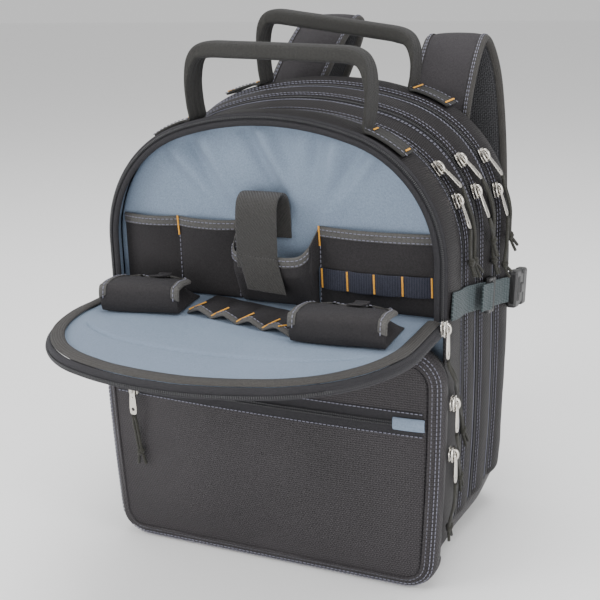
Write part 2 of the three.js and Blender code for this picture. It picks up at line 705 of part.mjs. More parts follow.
// The padded lining goes back over the hinge to the tool wall.
function addTrayLining() {
  const grid = (z) => {
    const rows = trayGrid(-TRAY_SIDE, z);
    return [rows[0].map(({ x }) => vec(x, WALL_Y - GAP, z)), ...rows];
  };
  addPiece("tray_lining", wallBetween(grid(TRAY_TOP), grid(TRAY_Z)), "lining");
}
addTrayLining();

// The tray's edge: binding over the padding, then the zip tape turned down outside it.
function addTrayRim() {
  const row = (out, z) => trayEdge(out).map(({ x, reach }) => trayPoint(x, reach, z));
  const [low, high] = [TRAY_TOP + GAP, TRAY_TOP + GAP + FABRIC];
  const lip = high - TRAY_LIP;
  const outer = [row(-TRAY_BINDING, high), row(0, high), row(TRAY_SIDE, lip)];
  const inner = [row(-TRAY_BINDING, low), row(-FABRIC, low), row(TRAY_SIDE - FABRIC, lip)];
  addPiece("tray_rim", wallBetween(outer, inner), "zip");
}
addTrayRim();

// Each flap pouch is a sheet sewn to the lining on three sides, with its mouth towards the tray's
// edge. Its flap starts in front of the mouth and folds back over the top.
const POUCH_Z = TRAY_TOP + GAP;
const POUCH_COLUMNS = [0, 0.08, 0.25, 0.5, 0.75, 0.92, 1];
const POUCH_ROWS = [0, 0.2, 0.45, 0.7, 0.9, 1];
const pouchHeight = (u, v) => {
  const across = Math.min(1, Math.sin(Math.PI * u) * 1.9);
  return FABRIC + (POUCH_HEIGHT - FABRIC) * across * (1 - v) ** 0.6;
};

// Places a point of a pouch: across its mouth, back from it, and up from the lining.
function onTray(spot, across, back, up) {
  const turn = THREE.MathUtils.degToRad(spot.turn);
  const x = spot.x + across * Math.cos(turn) - back * Math.sin(turn);
  const y = spot.y + across * Math.sin(turn) + back * Math.cos(turn);
  return vec(x, y, POUCH_Z + up);
}

const FLAP_STAND = 4; // how far the flap bends out in front of the mouth
function addFlapPouch(spot) {
  const grid = (drop) =>
    POUCH_ROWS.map((v) =>
      POUCH_COLUMNS.map((u) =>
        onTray(spot, (u - 0.5) * spot.wide, v * POUCH_LENGTH, pouchHeight(u, v) - drop),
      ),
    );
  addPiece(`tray_pouch_${spot.side}`, wallBetween(grid(0), grid(FABRIC)), "black_cloth");

  const over = (v) => pouchHeight(0.5, v / POUCH_LENGTH) + FABRIC / 2 + GAP + 0.5;
  const rows = [
    { v: -FLAP_STAND / 2, up: FABRIC / 2, cut: 0 },
    { v: -FLAP_STAND, up: POUCH_HEIGHT * 0.3, cut: 0 },
    { v: -FLAP_STAND, up: POUCH_HEIGHT * 0.75, cut: 0 },
    { v: -FLAP_STAND * 0.4, up: over(0) + 1, cut: 0 },
    { v: FLAP_LENGTH * 0.3, up: over(0) + 0.5, cut: 0 },
    { v: FLAP_LENGTH - FLAP_TIP_R, up: over(FLAP_LENGTH - FLAP_TIP_R), cut: 0 },
    { v: FLAP_LENGTH - FLAP_TIP_R * 0.3, up: over(FLAP_LENGTH - FLAP_TIP_R * 0.3), cut: 0.3 },
    { v: FLAP_LENGTH, up: over(FLAP_LENGTH), cut: 1 },
  ];
  const line = rows.map(({ v, up }) => onTray(spot, 0, v, up));
  const wide = rows.map(({ cut }) => spot.wide - 2 * FLAP_TIP_R * cut);
  const across = onTray(spot, 1, 0, 0).sub(onTray(spot, 0, 0, 0));
  addPiece(`tray_flap_${spot.side}`, strip(line, across, wide, FABRIC), "black_cloth");
}
for (const spot of FLAP_POUCHES) addFlapPouch(spot);

// The row of tool loops between the pouches: one sheet that rises into an arch at each loop.
const LOOP_SHEET_COLUMNS = 4;
function addToolLoops() {
  const { left, right, count, reach } = TOOL_LOOPS;
  const columns = steps(count * LOOP_SHEET_COLUMNS);
  const grid = (drop) =>
    [0, 0.35, 0.7, 1].map((v) =>
      columns.map((u) => {
        const rise = TOOL_LOOP_RISE * Math.sin(Math.PI * u * count) ** 2 * (1 - v) ** 0.7;
        const y = mix(left.y, right.y, u) + v * reach;
        return vec(mix(left.x, right.x, u), y, POUCH_Z + FABRIC + rise - drop);
      }),
    );
  addPiece("tray_loops", wallBetween(grid(0), grid(FABRIC)), "black_cloth");
}
addToolLoops();

// Carry handles: webbing sewn down along the arch at both ends

const HANDLE_SEWN_STEPS = 3;
function addHandle({ name, y, rise, leg, shift, slope }) {
  const { w, h } = sectionAt(y);
  const spring = h - SHOULDER_R - CROWN_RISE;
  const r = SHOULDER_R + bandAt(y).bulge + GAP + WEBBING / 2;
  const inset = w - SHOULDER_R;
  const half = (sign) => {
    const reach = leg + sign * shift;
    const top = Math.acos((reach - inset) / r);
    const sewn = steps(HANDLE_SEWN_STEPS).map((t) => {
      const a = top - (HANDLE_SEWN / r) * (1 - t);
      return { x: sign * (inset + r * Math.cos(a)), z: spring + r * Math.sin(a), fold: 0 };
    });
    const foot = sewn[sewn.length - 1].z;
    const free = HANDLE_SHAPE.map(({ out, up, fold }) => {
      const x = sign * leg * out;
      return { x: x + shift, z: foot + rise * up - slope * x * up, fold };
    });
    return [...sewn, ...free];
  };
  const all = [...half(1), ...half(-1).reverse()];
  const wide = all.map(({ fold }) => mix(HANDLE_WEB, GRIP_WIDTH, fold));
  const thick = all.map(({ fold }) => mix(WEBBING, GRIP_THICK, fold));
  const line = all.map(({ x, z }) => vec(x, y, z));
  addPiece(name, strip(line, vec(0, 1, 0), wide, thick), "webbing");
}
for (const handle of HANDLES) addHandle(handle);

// Shoulder straps on the back, and the webbing from each one to its lower corner

const PAD_PROFILE = [
  [-1, -0.4],
  [-0.85, -1],
  [0.85, -1],
  [1, -0.4],
  [1, 0.4],
  [0.85, 1],
  [-0.85, 1],
  [-1, 0.4],
];
const STRAP_STEPS = 20;
const STRAP_Y = PANEL_Y + GAP + STRAP_PAD / 2;

function addShoulderStrap(side, sign) {
  const points = STRAP_LINES[side].map((row) => {
    const y = STRAP_Y + row.back * BODY_DEPTH;
    return vec(sign * row.side * HALF_WIDTH, y, row.high * HEIGHT);
  });
  const end = points[points.length - 1].clone();
  end.set(end.x + sign * 3, end.y - 18, STRAP_END);
  points.push(end);
  const line = smooth(points, STRAP_STEPS);
  const pad = strip(line, vec(1, 0, 0), STRAP_WIDTH, STRAP_PAD, PAD_PROFILE);
  addPiece(`shoulder_strap_${side}`, pad, "nylon");

  const seam = vec(sign * STRAP_ANCHOR_X, PANEL_Y + STRAP_CLEAR, STRAP_ANCHOR_Z);
  const top = end.clone().setZ(STRAP_END - GAP * 2);
  const web = [top, top.clone().lerp(seam, 0.3), top.clone().lerp(seam, 0.7)];
  web[2].y += 4;
  web.push(seam.clone().setZ(STRAP_ANCHOR_Z + 18), seam);
  const webbing = strip(web, vec(1, 0, 0), STRAP_WEB, WEBBING);
  const at = web[0].clone().lerp(web[1], 0.4);
  const along = web[1].clone().sub(web[0]).normalize().multiplyScalar(ADJUSTER.long / 2);
  const ends = [at.clone().sub(along), at.clone().add(along)];
  const box = strip(ends, vec(1, 0, 0), ADJUSTER.wide, ADJUSTER.thick);
  addPiece(`lower_strap_${side}`, joinAll([webbing, box]), "webbing");
}
addShoulderStrap("left", -1);
addShoulderStrap("right", 1);

// Side straps: webbing from the rim over the side, through a slide and into a buckle at the back

const sideZ = (y) => SIDE_FRONT_Z + SIDE_SLOPE * (y - RIM_Y);
function sideX(y, lift) {
  const band = bandAt(y);
  return sectionAt(y).w - leanAt(sideZ(y)) + (band ? swellAt(band, y) : CHAIN_RISE) + GAP + lift;
}

const mirrored = (geometry) => {
  const copy = geometry.clone().scale(-1, 1, 1);
  const { array } = copy.index;
  for (let i = 0; i < array.length; i += 3) [array[i], array[i + 1]] = [array[i + 1], array[i]];
  copy.computeVertexNormals();
  return copy;
};

function sideStrap() {
  const half = WEBBING / 2;
  const middle = ({ from, to }) => (from + to) / 2;
  const flat = [SIDE_START, middle(BANDS.band_front), middle(BANDS.band_middle_front)];
  const line = flat.map((y) => vec(sideX(y, half), y, sideZ(y)));
  const raised = sideX(middle(BANDS.band_middle_rear), SLIDE.thick / 2);
  const slideEnds = [-1, 1].map((s) => {
    const y = SLIDE.at + (s * SLIDE.long) / 2;
    return vec(raised, y, sideZ(y));
  });
  const buckleX = sideX(middle(BANDS.band_rear), BUCKLE.thick / 2);
  const buckleEnds = [-1, 1].map((s) => {
    const y = BUCKLE.at + (s * BUCKLE.long) / 2;
    return vec(buckleX, y, sideZ(y));
  });
  const toBuckle = buckleEnds[0].clone().sub(slideEnds[1]).normalize();
  line.push(...slideEnds, buckleEnds[0].clone().addScaledVector(toBuckle, -GAP * 2));
  const up = vec(0, 0, 1);
  const web = strip(line, up, SIDE_WEB, WEBBING);

  const stretch = (from, to) => [from, to].map((t) => slideEnds[0].clone().lerp(slideEnds[1], t));
  const hole = strip(stretch(-0.5, 1.5), up, SIDE_WEB + 2 * GAP, WEBBING + 2 * GAP);
  const block = strip(stretch(0.08, 0.92), up, SLIDE.high, SLIDE.thick);
  const slide = toGeometry(toSolid(block).subtract(toSolid(hole)));

  // The buckle's two halves, then the webbing from its rear bar round to the back panel.
  const [front, rear] = buckleEnds;
  const turnY = PANEL_Y + STRAP_CLEAR;
  const edge = sectionAt(BACK_Y).w;
  const { high: tall, thick } = BUCKLE;
  const shell = (t, share) => ({ at: front.clone().lerp(rear, t), high: tall * share, thick });
  const webAt = (at) => ({ at, high: SIDE_WEB, thick: WEBBING });
  const rows = [
    shell(0, 0.8),
    shell(0.12, 1),
    shell(0.34, 1),
    shell(0.42, 0.86),
    shell(0.58, 0.86),
    shell(0.66, 1),
    shell(0.9, 1),
    shell(1, 0.8),
    webAt(rear.clone().add(vec(0, 0.5, 0))),
    webAt(vec(edge + 4, turnY + 3, rear.z)),
    webAt(vec(edge - 6, turnY, rear.z)),
    webAt(vec(edge - ANCHOR_LENGTH, turnY, rear.z)),
  ];
  const column = (key) => rows.map((row) => row[key]);
  const buckle = strip(column("at"), up, column("high"), column("thick"));
  return { web, slide, buckle };
}

const sideParts = sideStrap();
for (const [side, place] of [["right", (geometry) => geometry], ["left", mirrored]]) {
  addPiece(`side_webbing_${side}`, place(sideParts.web), "grey_webbing");
  addPiece(`side_slide_${side}`, place(sideParts.slide), "plastic");
  addPiece(`side_buckle_${side}`, place(sideParts.buckle), "plastic");
}

// Zip sliders and their pull cords

// One slider about its own middle: along the chain is x, across is y, and z is away from the chain.
// Its tab is swung towards y by an angle.
function sliderShape(swing) {
  const half = SLIDER.wide / 2;
  const nose = half * 0.6;
  const back = SLIDER.long / 2;
  const outline = [
    [-back, -nose],
    [0, -half],
    [back, -half],
    [back, half],
    [0, half],
    [-back, nose],
  ];
  const flat = (points, depth, z) => {
    const shape = new THREE.Shape(points.map(([x, y]) => new THREE.Vector2(x, y)));
    return new THREE.ExtrudeGeometry(shape, { depth, bevelEnabled: false }).translate(0, 0, z);
  };
  const body = flat(outline, SLIDER.thick, 0);
  const bridgeBox = new THREE.BoxGeometry(SLIDER.long * 0.6, SLIDER.wide * 0.35, SLIDER.bridge + 1);
  const bridge = bridgeBox.translate(0, 0, SLIDER.thick + SLIDER.bridge / 2 - 0.5);

  const end = TAB.long;
  const tabShape = new THREE.Shape();
  const narrow = TAB.wide * 0.35;
  tabShape.moveTo(0, -narrow);
  tabShape.lineTo(end * 0.25, -narrow);
  tabShape.lineTo(end * 0.55, -TAB.wide * 0.5);
  tabShape.lineTo(end * 0.9, -TAB.wide * 0.5);
  tabShape.lineTo(end, -TAB.wide * 0.25);
  tabShape.lineTo(end, TAB.wide * 0.25);
  tabShape.lineTo(end * 0.9, TAB.wide * 0.5);
  tabShape.lineTo(end * 0.55, TAB.wide * 0.5);
  tabShape.lineTo(end * 0.25, narrow);
  tabShape.lineTo(0, narrow);
  const hole = new THREE.Path();
  hole.absarc(end * 0.8, 0, TAB.hole, 0, Math.PI * 2, true);
  tabShape.holes.push(hole);
  const depth = { depth: TAB.thick, bevelEnabled: false, curveSegments: 4 };
  const tab = new THREE.ExtrudeGeometry(tabShape, depth);
  tab.rotateZ(swing).translate(0, 0, SLIDER.thick + SLIDER.bridge / 2 - TAB.thick / 2);
  return joinAll([body, bridge, tab]);
}

const rings = {};
function addSlider(name, origin, along, out, degrees = 0) {
  const swing = THREE.MathUtils.degToRad(degrees);
  const x = along.clone().normalize();
  const z = out.clone().addScaledVector(x, -out.dot(x)).normalize();
  const y = z.clone().cross(x);
  const place = new THREE.Matrix4().makeBasis(x, y, z).setPosition(origin);
  addPiece(name, sliderShape(swing).applyMatrix4(place), "nickel");
  const reach = TAB.long + CORD_START;
  const ring = vec(reach * Math.cos(swing), reach * Math.sin(swing), SLIDER.thick + SLIDER.bridge / 2);
  rings[name] = ring.applyMatrix4(place);
}

// Two sliders on each zip of the arch, parked on the right shoulder; angle is up from its side, and
// swing turns the tab towards the back.
const ARCH_SLIDERS = [
  { name: "slider_front_upper", y: ZIP_FRONT_Y, angle: 40, swing: 20 },
  { name: "slider_front_lower", y: ZIP_FRONT_Y, angle: 24, swing: -12 },
  { name: "slider_middle_upper", y: ZIP_MID_Y, angle: 35, swing: 26 },
  { name: "slider_middle_lower", y: ZIP_MID_Y, angle: 20, swing: 5 },
  { name: "slider_rear_upper", y: ZIP_REAR_Y, angle: 30.5, swing: 26 },
  { name: "slider_rear_lower", y: ZIP_REAR_Y, angle: 14, swing: 12 },
];
for (const { name, y, angle, swing } of ARCH_SLIDERS) {
  const a = THREE.MathUtils.degToRad(angle);
  const { w, h } = sectionAt(y);
  const r = SHOULDER_R + CHAIN_RISE + GAP;
  const x = w - SHOULDER_R + r * Math.cos(a);
  const z = h - SHOULDER_R - CROWN_RISE + r * Math.sin(a);
  const [sin, cos] = [Math.sin(a), Math.cos(a)];
  addSlider(name, vec(x, y, z), vec(sin, 0, -cos), vec(cos, 0, sin), swing);
}

const down = vec(0, 0, -1);
const POCKET_SLIDER_Y = (RIM_Y + BORDER_Y) / 2;
const traySlider = vec(HALF_WIDTH + GAP, TRAY_BACK - TRAY_SLIDER_REACH, TRAY_TOP);
addSlider("slider_tray", traySlider, down, vec(1, 0, 0));
for (const { name, z } of POCKET_SLIDERS) {
  const x = Math.max(HALF_WIDTH, POCKET_HALF_WIDTH) - leanAt(z + SLIDER.long) + GAP;
  addSlider(name, vec(x, POCKET_SLIDER_Y, z), down, vec(1, 0, 0));
}
const SLOT_MIDDLE = SLOT_LOW + SLOT_HEIGHT / 2;
const slotSliderY = faceY(SLOT_SLIDER_X, SLOT_MIDDLE) - SLOT_CLEAR - SLOT_THICK - CHAIN_RISE - GAP - 0.5;
addSlider("slider_slot", vec(SLOT_SLIDER_X, slotSliderY, SLOT_MIDDLE), down, vec(0, -1, 0));

// Routes of the pull cords, each from the ring of its slider; the last point but one is the knot.
const CORDS = [
  {
    name: "pull_front_upper",
    slider: "slider_front_upper",
    route: [
      [0, 0, 0], [4.4, 1.9, -13.6], [8.5, 3.6, -27.1], [10.6, 4.8, -40.7], [10.9, 5, -54.3],
      [12, 3.4, -67.8], [17, 8.4, -80.8],
    ],
  },
  {
    name: "pull_front_lower",
    slider: "slider_front_lower",
    route: [
      [0, 0, 0], [0, -0.2, -14.9], [0, 3.3, -29.8], [5, 0.3, -42.8],
    ],
  },
  {
    name: "pull_middle_upper",
    slider: "slider_middle_upper",
    route: [
      [0, 0, 0], [4.2, 6.4, -13], [6.9, 11.3, -26], [7.9, 14.6, -39], [7.9, 14.6, -52],
      [7.9, 13.4, -65], [10, 11.1, -78], [15, 9.6, -91],
    ],
  },
  {
    name: "pull_middle_lower",
    slider: "slider_middle_lower",
    route: [
      [0, 0, 0], [1.2, 0.8, -5], [1.6, 7.8, -14], [1.6, 10.8, -24], [6.6, 6.8, -37],
    ],
  },
  {
    name: "pull_rear_upper",
    slider: "slider_rear_upper",
    route: [
      [0, 0, 0], [1.5, 3.6, -11.9], [4.4, 6.8, -23.9], [5.9, 9.2, -35.8], [5.9, 9.2, -47.8],
      [6.8, 8, -59.7], [11.8, 14, -72.7],
    ],
  },
  {
    name: "pull_rear_lower",
    slider: "slider_rear_lower",
    route: [
      [0, 0, 0], [0, 0.7, -15], [0, -1.3, -30], [0, -6.3, -45], [5, -2.3, -56],
    ],
  },
  {
    name: "pull_tray",
    slider: "slider_tray",
    route: [
      [0, 0, 0], [1.5, 2.4, -7.5], [4.5, 8.5, -19], [2, 21.5, -34], [0, 37.5, -52],
      [-1.6, 51.5, -72], [-1.6, 57.5, -88], [1.8, 60.5, -102],
    ],
  },
  {
    name: "pull_pocket_upper",
    slider: "slider_pocket_upper",
    route: [
      [0, 0, 0], [0, 2.7, -7.5], [-0.9, 10.7, -18.5], [-5.4, 24.7, -32.5], [-8.4, 38.7, -48.5],
      [-9.4, 46.7, -63.5], [-8.4, 49.7, -77.5],
    ],
  },
  {
    name: "pull_pocket_lower",
    slider: "slider_pocket_lower",
    route: [
      [0, 0, 0], [-0.2, 1, -8], [-1.7, 4, -22], [-5.2, 7, -36], [-7.7, 10, -48], [-7.7, 13, -62],
    ],
  },
  {
    name: "pull_slot",
    slider: "slider_slot",
    route: [
      [0, 0, 0], [0.2, 1.2, -8], [0.5, 2.6, -18], [1, 3.6, -28], [2, 4.2, -38], [3, 4.2, -52],
    ],
  },
];

function pullCord({ slider: name, route }) {
  const points = route.map(([x, y, z]) => rings[name].clone().add(vec(x, y, z)));
  const curve = new THREE.CatmullRomCurve3(points);
  const section = new THREE.Shape();
  section.absarc(0, 0, PAIR / 2, 0, Math.PI * 2);
  const count = Math.ceil(curve.getLength() / CORD_STEP);
  const options = { steps: count, extrudePath: curve, bevelEnabled: false, curveSegments: CORD_SIDES / 2 };
  const cord = new THREE.ExtrudeGeometry(section, options);
  const knot = new THREE.IcosahedronGeometry(KNOT / 2, 0).translate(...points[points.length - 2]);
  return joinAll([cord, knot]);
}
for (const cord of CORDS) addPiece(cord.name, pullCord(cord), "cord");

export default group;
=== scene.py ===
import math

import bmesh
import bpy
import numpy as np
from mathutils import Matrix, Vector, noise


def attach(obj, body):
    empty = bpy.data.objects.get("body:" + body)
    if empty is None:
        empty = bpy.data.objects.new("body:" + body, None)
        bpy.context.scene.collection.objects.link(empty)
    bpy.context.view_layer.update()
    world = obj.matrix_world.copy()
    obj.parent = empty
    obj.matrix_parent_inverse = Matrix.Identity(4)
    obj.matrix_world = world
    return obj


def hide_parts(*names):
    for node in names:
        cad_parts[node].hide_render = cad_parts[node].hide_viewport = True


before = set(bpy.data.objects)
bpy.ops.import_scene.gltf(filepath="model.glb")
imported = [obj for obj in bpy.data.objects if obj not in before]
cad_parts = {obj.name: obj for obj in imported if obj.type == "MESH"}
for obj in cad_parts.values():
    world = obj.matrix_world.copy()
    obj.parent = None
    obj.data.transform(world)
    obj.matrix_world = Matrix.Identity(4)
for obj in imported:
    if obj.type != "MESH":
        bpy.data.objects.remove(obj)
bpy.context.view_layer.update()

# Camera, floor and studio light.
# The bag stands on a pale floor in soft light from both sides. The camera looks down on its right
# front corner.

look_at = Vector((0.00309, -0.032, 0.23827))
azimuth, elevation, roll = (math.radians(a) for a in (24.19, 17.05, -1.61))
toward = Vector((math.sin(azimuth) * math.cos(elevation), -math.cos(azimuth) * math.cos(elevation),
                 math.sin(elevation)))
level = Vector((math.cos(azimuth), math.sin(azimuth), 0))
upright = toward.cross(level)
side_way = level * math.cos(roll) + upright * math.sin(roll)
top_way = upright * math.cos(roll) - level * math.sin(roll)
camera = bpy.data.objects.new("camera", bpy.data.cameras.new("camera"))
camera.data.lens = 66.05
camera.data.sensor_width = 36
camera.data.clip_end = 30
place = Matrix((side_way, top_way, toward)).transposed().to_4x4()
place.translation = look_at + toward * 1.0577
camera.matrix_world = place
bpy.context.collection.objects.link(camera)
bpy.context.scene.camera = camera


def studio_lamp(name, spot, size, watts, aim=(0, 0, 0.22)):
    lamp = bpy.data.objects.new(name, bpy.data.lights.new(name, "AREA"))
    lamp.data.shape = "RECTANGLE"
    lamp.data.size, lamp.data.size_y = size
    lamp.data.energy = watts
    lamp.location = spot
    lamp.visible_camera = False
    lamp.rotation_euler = (Vector(aim) - Vector(spot)).to_track_quat("-Z", "Y").to_euler()
    bpy.context.collection.objects.link(lamp)


studio_lamp("lamp_left", (-1.5, -1.5, 1.5), (1.3, 1.3), 42)
studio_lamp("lamp_right", (1.9, -0.5, 0.9), (1.0, 1.4), 26)
studio_lamp("lamp_top", (0.1, 0.1, 2.1), (1.6, 1.2), 34)
studio_lamp("lamp_front", (0.3, -2.2, 0.35), (1.6, 0.7), 30, (0, 0, 0.12))

world = bpy.data.worlds.new("studio")
world.use_nodes = True
world.node_tree.nodes["Background"].inputs["Color"].default_value = (1, 1, 1, 1)
world.node_tree.nodes["Background"].inputs["Strength"].default_value = 0.75
bpy.context.scene.world = world


def plain_material(name, colour, roughness, metallic=0.0):
    material = bpy.data.materials.new(name)
    material.use_nodes = True
    shader = material.node_tree.nodes["Principled BSDF"]
    shader.inputs["Base Color"].default_value = (*colour, 1)
    shader.inputs["Roughness"].default_value = roughness
    shader.inputs["Metallic"].default_value = metallic
    return material


floor_mesh = bpy.data.meshes.new("floor")
floor_mesh.from_pydata([(-9, -9, 0), (9, -9, 0), (9, 9, 0), (-9, 9, 0)], [], [(0, 1, 2, 3)])
floor = bpy.data.objects.new("floor", floor_mesh)
floor.data.materials.append(plain_material("floor_paint", (0.93, 0.93, 0.93), 0.9))
bpy.context.collection.objects.link(floor)

# Pull cords.
# Each zip slider has a pull of thin braided cord: a loop of it goes through the tab's hole, both
# strands hang side by side and are tied in a knot, and two short tails stand out below it.

MM = 0.001  # metres
PER_METRE = 1000  # millimetres


def node_math(tree, operation, *values):
    """One Math node; each value is a number or another node's output."""
    node = tree.nodes.new("ShaderNodeMath")
    node.operation = operation
    for socket, value in zip(node.inputs, values):
        if isinstance(value, (int, float)):
            socket.default_value = value
        else:
            tree.links.new(value, socket)
    return node.outputs[0]


def shader_group(name, inputs, outputs):
    """An empty node group with named sockets; inputs are (name, kind, value)."""
    tree = bpy.data.node_groups.new(name, "ShaderNodeTree")
    for label, kind, value in inputs:
        socket = tree.interface.new_socket(label, in_out="INPUT", socket_type=kind)
        if value is not None:
            socket.default_value = value
    for label, kind in outputs:
        tree.interface.new_socket(label, in_out="OUTPUT", socket_type=kind)
    return tree, tree.nodes.new("NodeGroupInput"), tree.nodes.new("NodeGroupOutput")


# Weave: over and under threads on the piece's own UV map, which is in metres. Height is the
# threads' relief; Shade and tone is painted shade, dark where the threads dip into the gaps, mixed
# with the threads' random tone; Cloudy is the slow change from one part of the cloth to another.
weave, weave_in, weave_out = shader_group(
    "weave",
    [("Across", "NodeSocketFloat", 0.0008), ("Along", "NodeSocketFloat", 0.0008),
     ("Twill", "NodeSocketFloat", 0.0), ("Seed", "NodeSocketFloat", 0.0)],
    [("Height", "NodeSocketFloat"), ("Shade and tone", "NodeSocketFloat"), ("Cloudy", "NodeSocketFloat")])
uv = weave.nodes.new("ShaderNodeUVMap")
split = weave.nodes.new("ShaderNodeSeparateXYZ")
weave.links.new(uv.outputs[0], split.inputs[0])
u = node_math(weave, "DIVIDE", split.outputs[0], weave_in.outputs["Across"])
v = node_math(weave, "DIVIDE", split.outputs[1], weave_in.outputs["Along"])
u = node_math(weave, "ADD", u, node_math(weave, "MULTIPLY", v, weave_in.outputs["Twill"]))
over_u = node_math(weave, "ABSOLUTE", node_math(weave, "SINE", node_math(weave, "MULTIPLY", u, math.pi)))
over_v = node_math(weave, "ABSOLUTE", node_math(weave, "SINE", node_math(weave, "MULTIPLY", v, math.pi)))
cell = node_math(weave, "ADD", node_math(weave, "FLOOR", u), node_math(weave, "FLOOR", v))
turn = node_math(weave, "PINGPONG", cell, 1.0)
height = node_math(weave, "ADD", node_math(weave, "MULTIPLY", over_u, turn),
                   node_math(weave, "MULTIPLY", over_v, node_math(weave, "SUBTRACT", 1.0, turn)))
threads = weave.nodes.new("ShaderNodeTexNoise")
threads.inputs["Scale"].default_value = 700
threads.inputs["Detail"].default_value = 1
coords = weave.nodes.new("ShaderNodeTexCoord")
shift = weave.nodes.new("ShaderNodeVectorMath")
shift.operation = "ADD"
weave.links.new(coords.outputs["Object"], shift.inputs[0])
weave.links.new(weave_in.outputs["Seed"], shift.inputs[1])
weave.links.new(shift.outputs[0], threads.inputs["Vector"])
cloudy = weave.nodes.new("ShaderNodeTexNoise")
cloudy.inputs["Scale"].default_value = 14
cloudy.inputs["Detail"].default_value = 4
weave.links.new(shift.outputs[0], cloudy.inputs["Vector"])
# Painted shade: the colour follows the threads' height and is darkest in the gaps between them, with their own random
# tone mixed in.
gap_shade_and_tone = node_math(weave, "ADD", node_math(weave, "MULTIPLY", height, 0.55),
                 node_math(weave, "MULTIPLY", threads.outputs[0], 0.45))
weave.links.new(height, weave_out.inputs["Height"])
weave.links.new(gap_shade_and_tone, weave_out.inputs["Shade and tone"])
weave.links.new(cloudy.outputs[0], weave_out.inputs["Cloudy"])


def woven(name, dark, light, across, along=None, twill=0.0, relief=0.0004, rough=(0.6, 0.85),
          sheen=0.25, sheen_colour=(0.5, 0.5, 0.55), cloud=0.35, seed=0.0, specular=0.14):
    """Cloth whose threads run from dark in the gaps to light on top: painted shade in the gaps, mixed with the
    threads' random tone.
    """
    material = bpy.data.materials.new(name)
    material.use_nodes = True
    tree = material.node_tree
    shader = tree.nodes["Principled BSDF"]
    group = tree.nodes.new("ShaderNodeGroup")
    group.node_tree = weave
    for label, value in (("Across", across), ("Along", along or across), ("Twill", twill), ("Seed", seed)):
        group.inputs[label].default_value = value
    drift = node_math(tree, "MULTIPLY", node_math(tree, "SUBTRACT", group.outputs["Cloudy"], 0.5), cloud)
    mixed = node_math(tree, "ADD", group.outputs["Shade and tone"], drift)
    # Painted shade: the ramp turns the low gaps between threads dark and the thread tops light.
    ramp = tree.nodes.new("ShaderNodeValToRGB")
    ramp.color_ramp.elements[0].position, ramp.color_ramp.elements[1].position = 0.12, 0.85
    ramp.color_ramp.elements[0].color = (*dark, 1)
    ramp.color_ramp.elements[1].color = (*light, 1)
    tree.links.new(mixed, ramp.inputs[0])
    tree.links.new(ramp.outputs[0], shader.inputs["Base Color"])
    dull = tree.nodes.new("ShaderNodeMapRange")
    dull.inputs["To Min"].default_value, dull.inputs["To Max"].default_value = rough[1], rough[0]
    tree.links.new(group.outputs["Height"], dull.inputs["Value"])
    tree.links.new(dull.outputs[0], shader.inputs["Roughness"])
    bump = tree.nodes.new("ShaderNodeBump")
    bump.inputs["Strength"].default_value = 0.55
    bump.inputs["Distance"].default_value = relief
    tree.links.new(group.outputs["Height"], bump.inputs["Height"])
    tree.links.new(bump.outputs[0], shader.inputs["Normal"])
    shader.inputs["Specular IOR Level"].default_value = specular
    shader.inputs["Sheen Weight"].default_value = sheen
    shader.inputs["Sheen Roughness"].default_value = 0.45
    shader.inputs["Sheen Tint"].default_value = (*sheen_colour, 1)
    return material


braid = woven("braided_cord", (0.004, 0.004, 0.003), (0.045, 0.044, 0.037), 0.0011, 0.0017, twill=0.8,
              relief=0.0005, sheen=0.2, cloud=0.1)


def new_piece(name, points, faces, material, uvs=None, smooth=True):
    """A mesh object from points in millimetres, riding on the bag."""
    mesh = bpy.data.meshes.new(name)
    mesh.from_pydata([tuple(float(c) * MM for c in p) for p in points], [], faces)
    outward = bmesh.new()
    outward.from_mesh(mesh)
    bmesh.ops.recalc_face_normals(outward, faces=outward.faces)
    outward.to_mesh(mesh)
    outward.free()
    mesh.polygons.foreach_set("use_smooth", [smooth] * len(mesh.polygons))
    if uvs is not None:
        layer = mesh.uv_layers.new(name="UVMap")
        flat = [c * MM for loop in mesh.loops for c in uvs[loop.vertex_index]]
        layer.data.foreach_set("uv", flat)
    mesh.materials.append(material)
    piece = bpy.data.objects.new(name, mesh)
    bpy.context.collection.objects.link(piece)
    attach(piece, "root")
    return piece


def run_along(line):
    """The length along a line up to each of its points."""
    return np.concatenate([[0], np.cumsum(np.linalg.norm(np.diff(line, axis=0), axis=1))])


def smooth_line(points, step):
    """Points every step millimetres along a smooth curve through the given ones."""
    p = np.array(points, float)
    ends = np.vstack([2 * p[0] - p[1], p, 2 * p[-1] - p[-2]])
    fine = []
    for k in range(len(p) - 1):
        a, b, c, d = ends[k:k + 4]
        for t in np.linspace(0, 1, 12, endpoint=False):
            fine.append(0.5 * (2 * b + (c - a) * t + (2 * a - 5 * b + 4 * c - d) * t ** 2
                               + (3 * b - a - 3 * c + d) * t ** 3))
    fine = np.array(fine + [p[-1]])
    run = run_along(fine)
    count = max(2, int(round(run[-1] / step)) + 1)
    return np.stack([np.interp(np.linspace(0, run[-1], count), run, fine[:, k]) for k in range(3)], 1)


def frames_along(line, up):
    """Unit tangent, side and up vectors at each point of a line; up is a hint."""
    tangent = np.gradient(line, axis=0)
    tangent /= np.linalg.norm(tangent, axis=1)[:, None]
    hint = np.broadcast_to(np.array(up, float), line.shape)
    side = np.cross(tangent, hint)
    side /= np.maximum(np.linalg.norm(side, axis=1), 1e-9)[:, None]
    return tangent, side, np.cross(side, tangent)


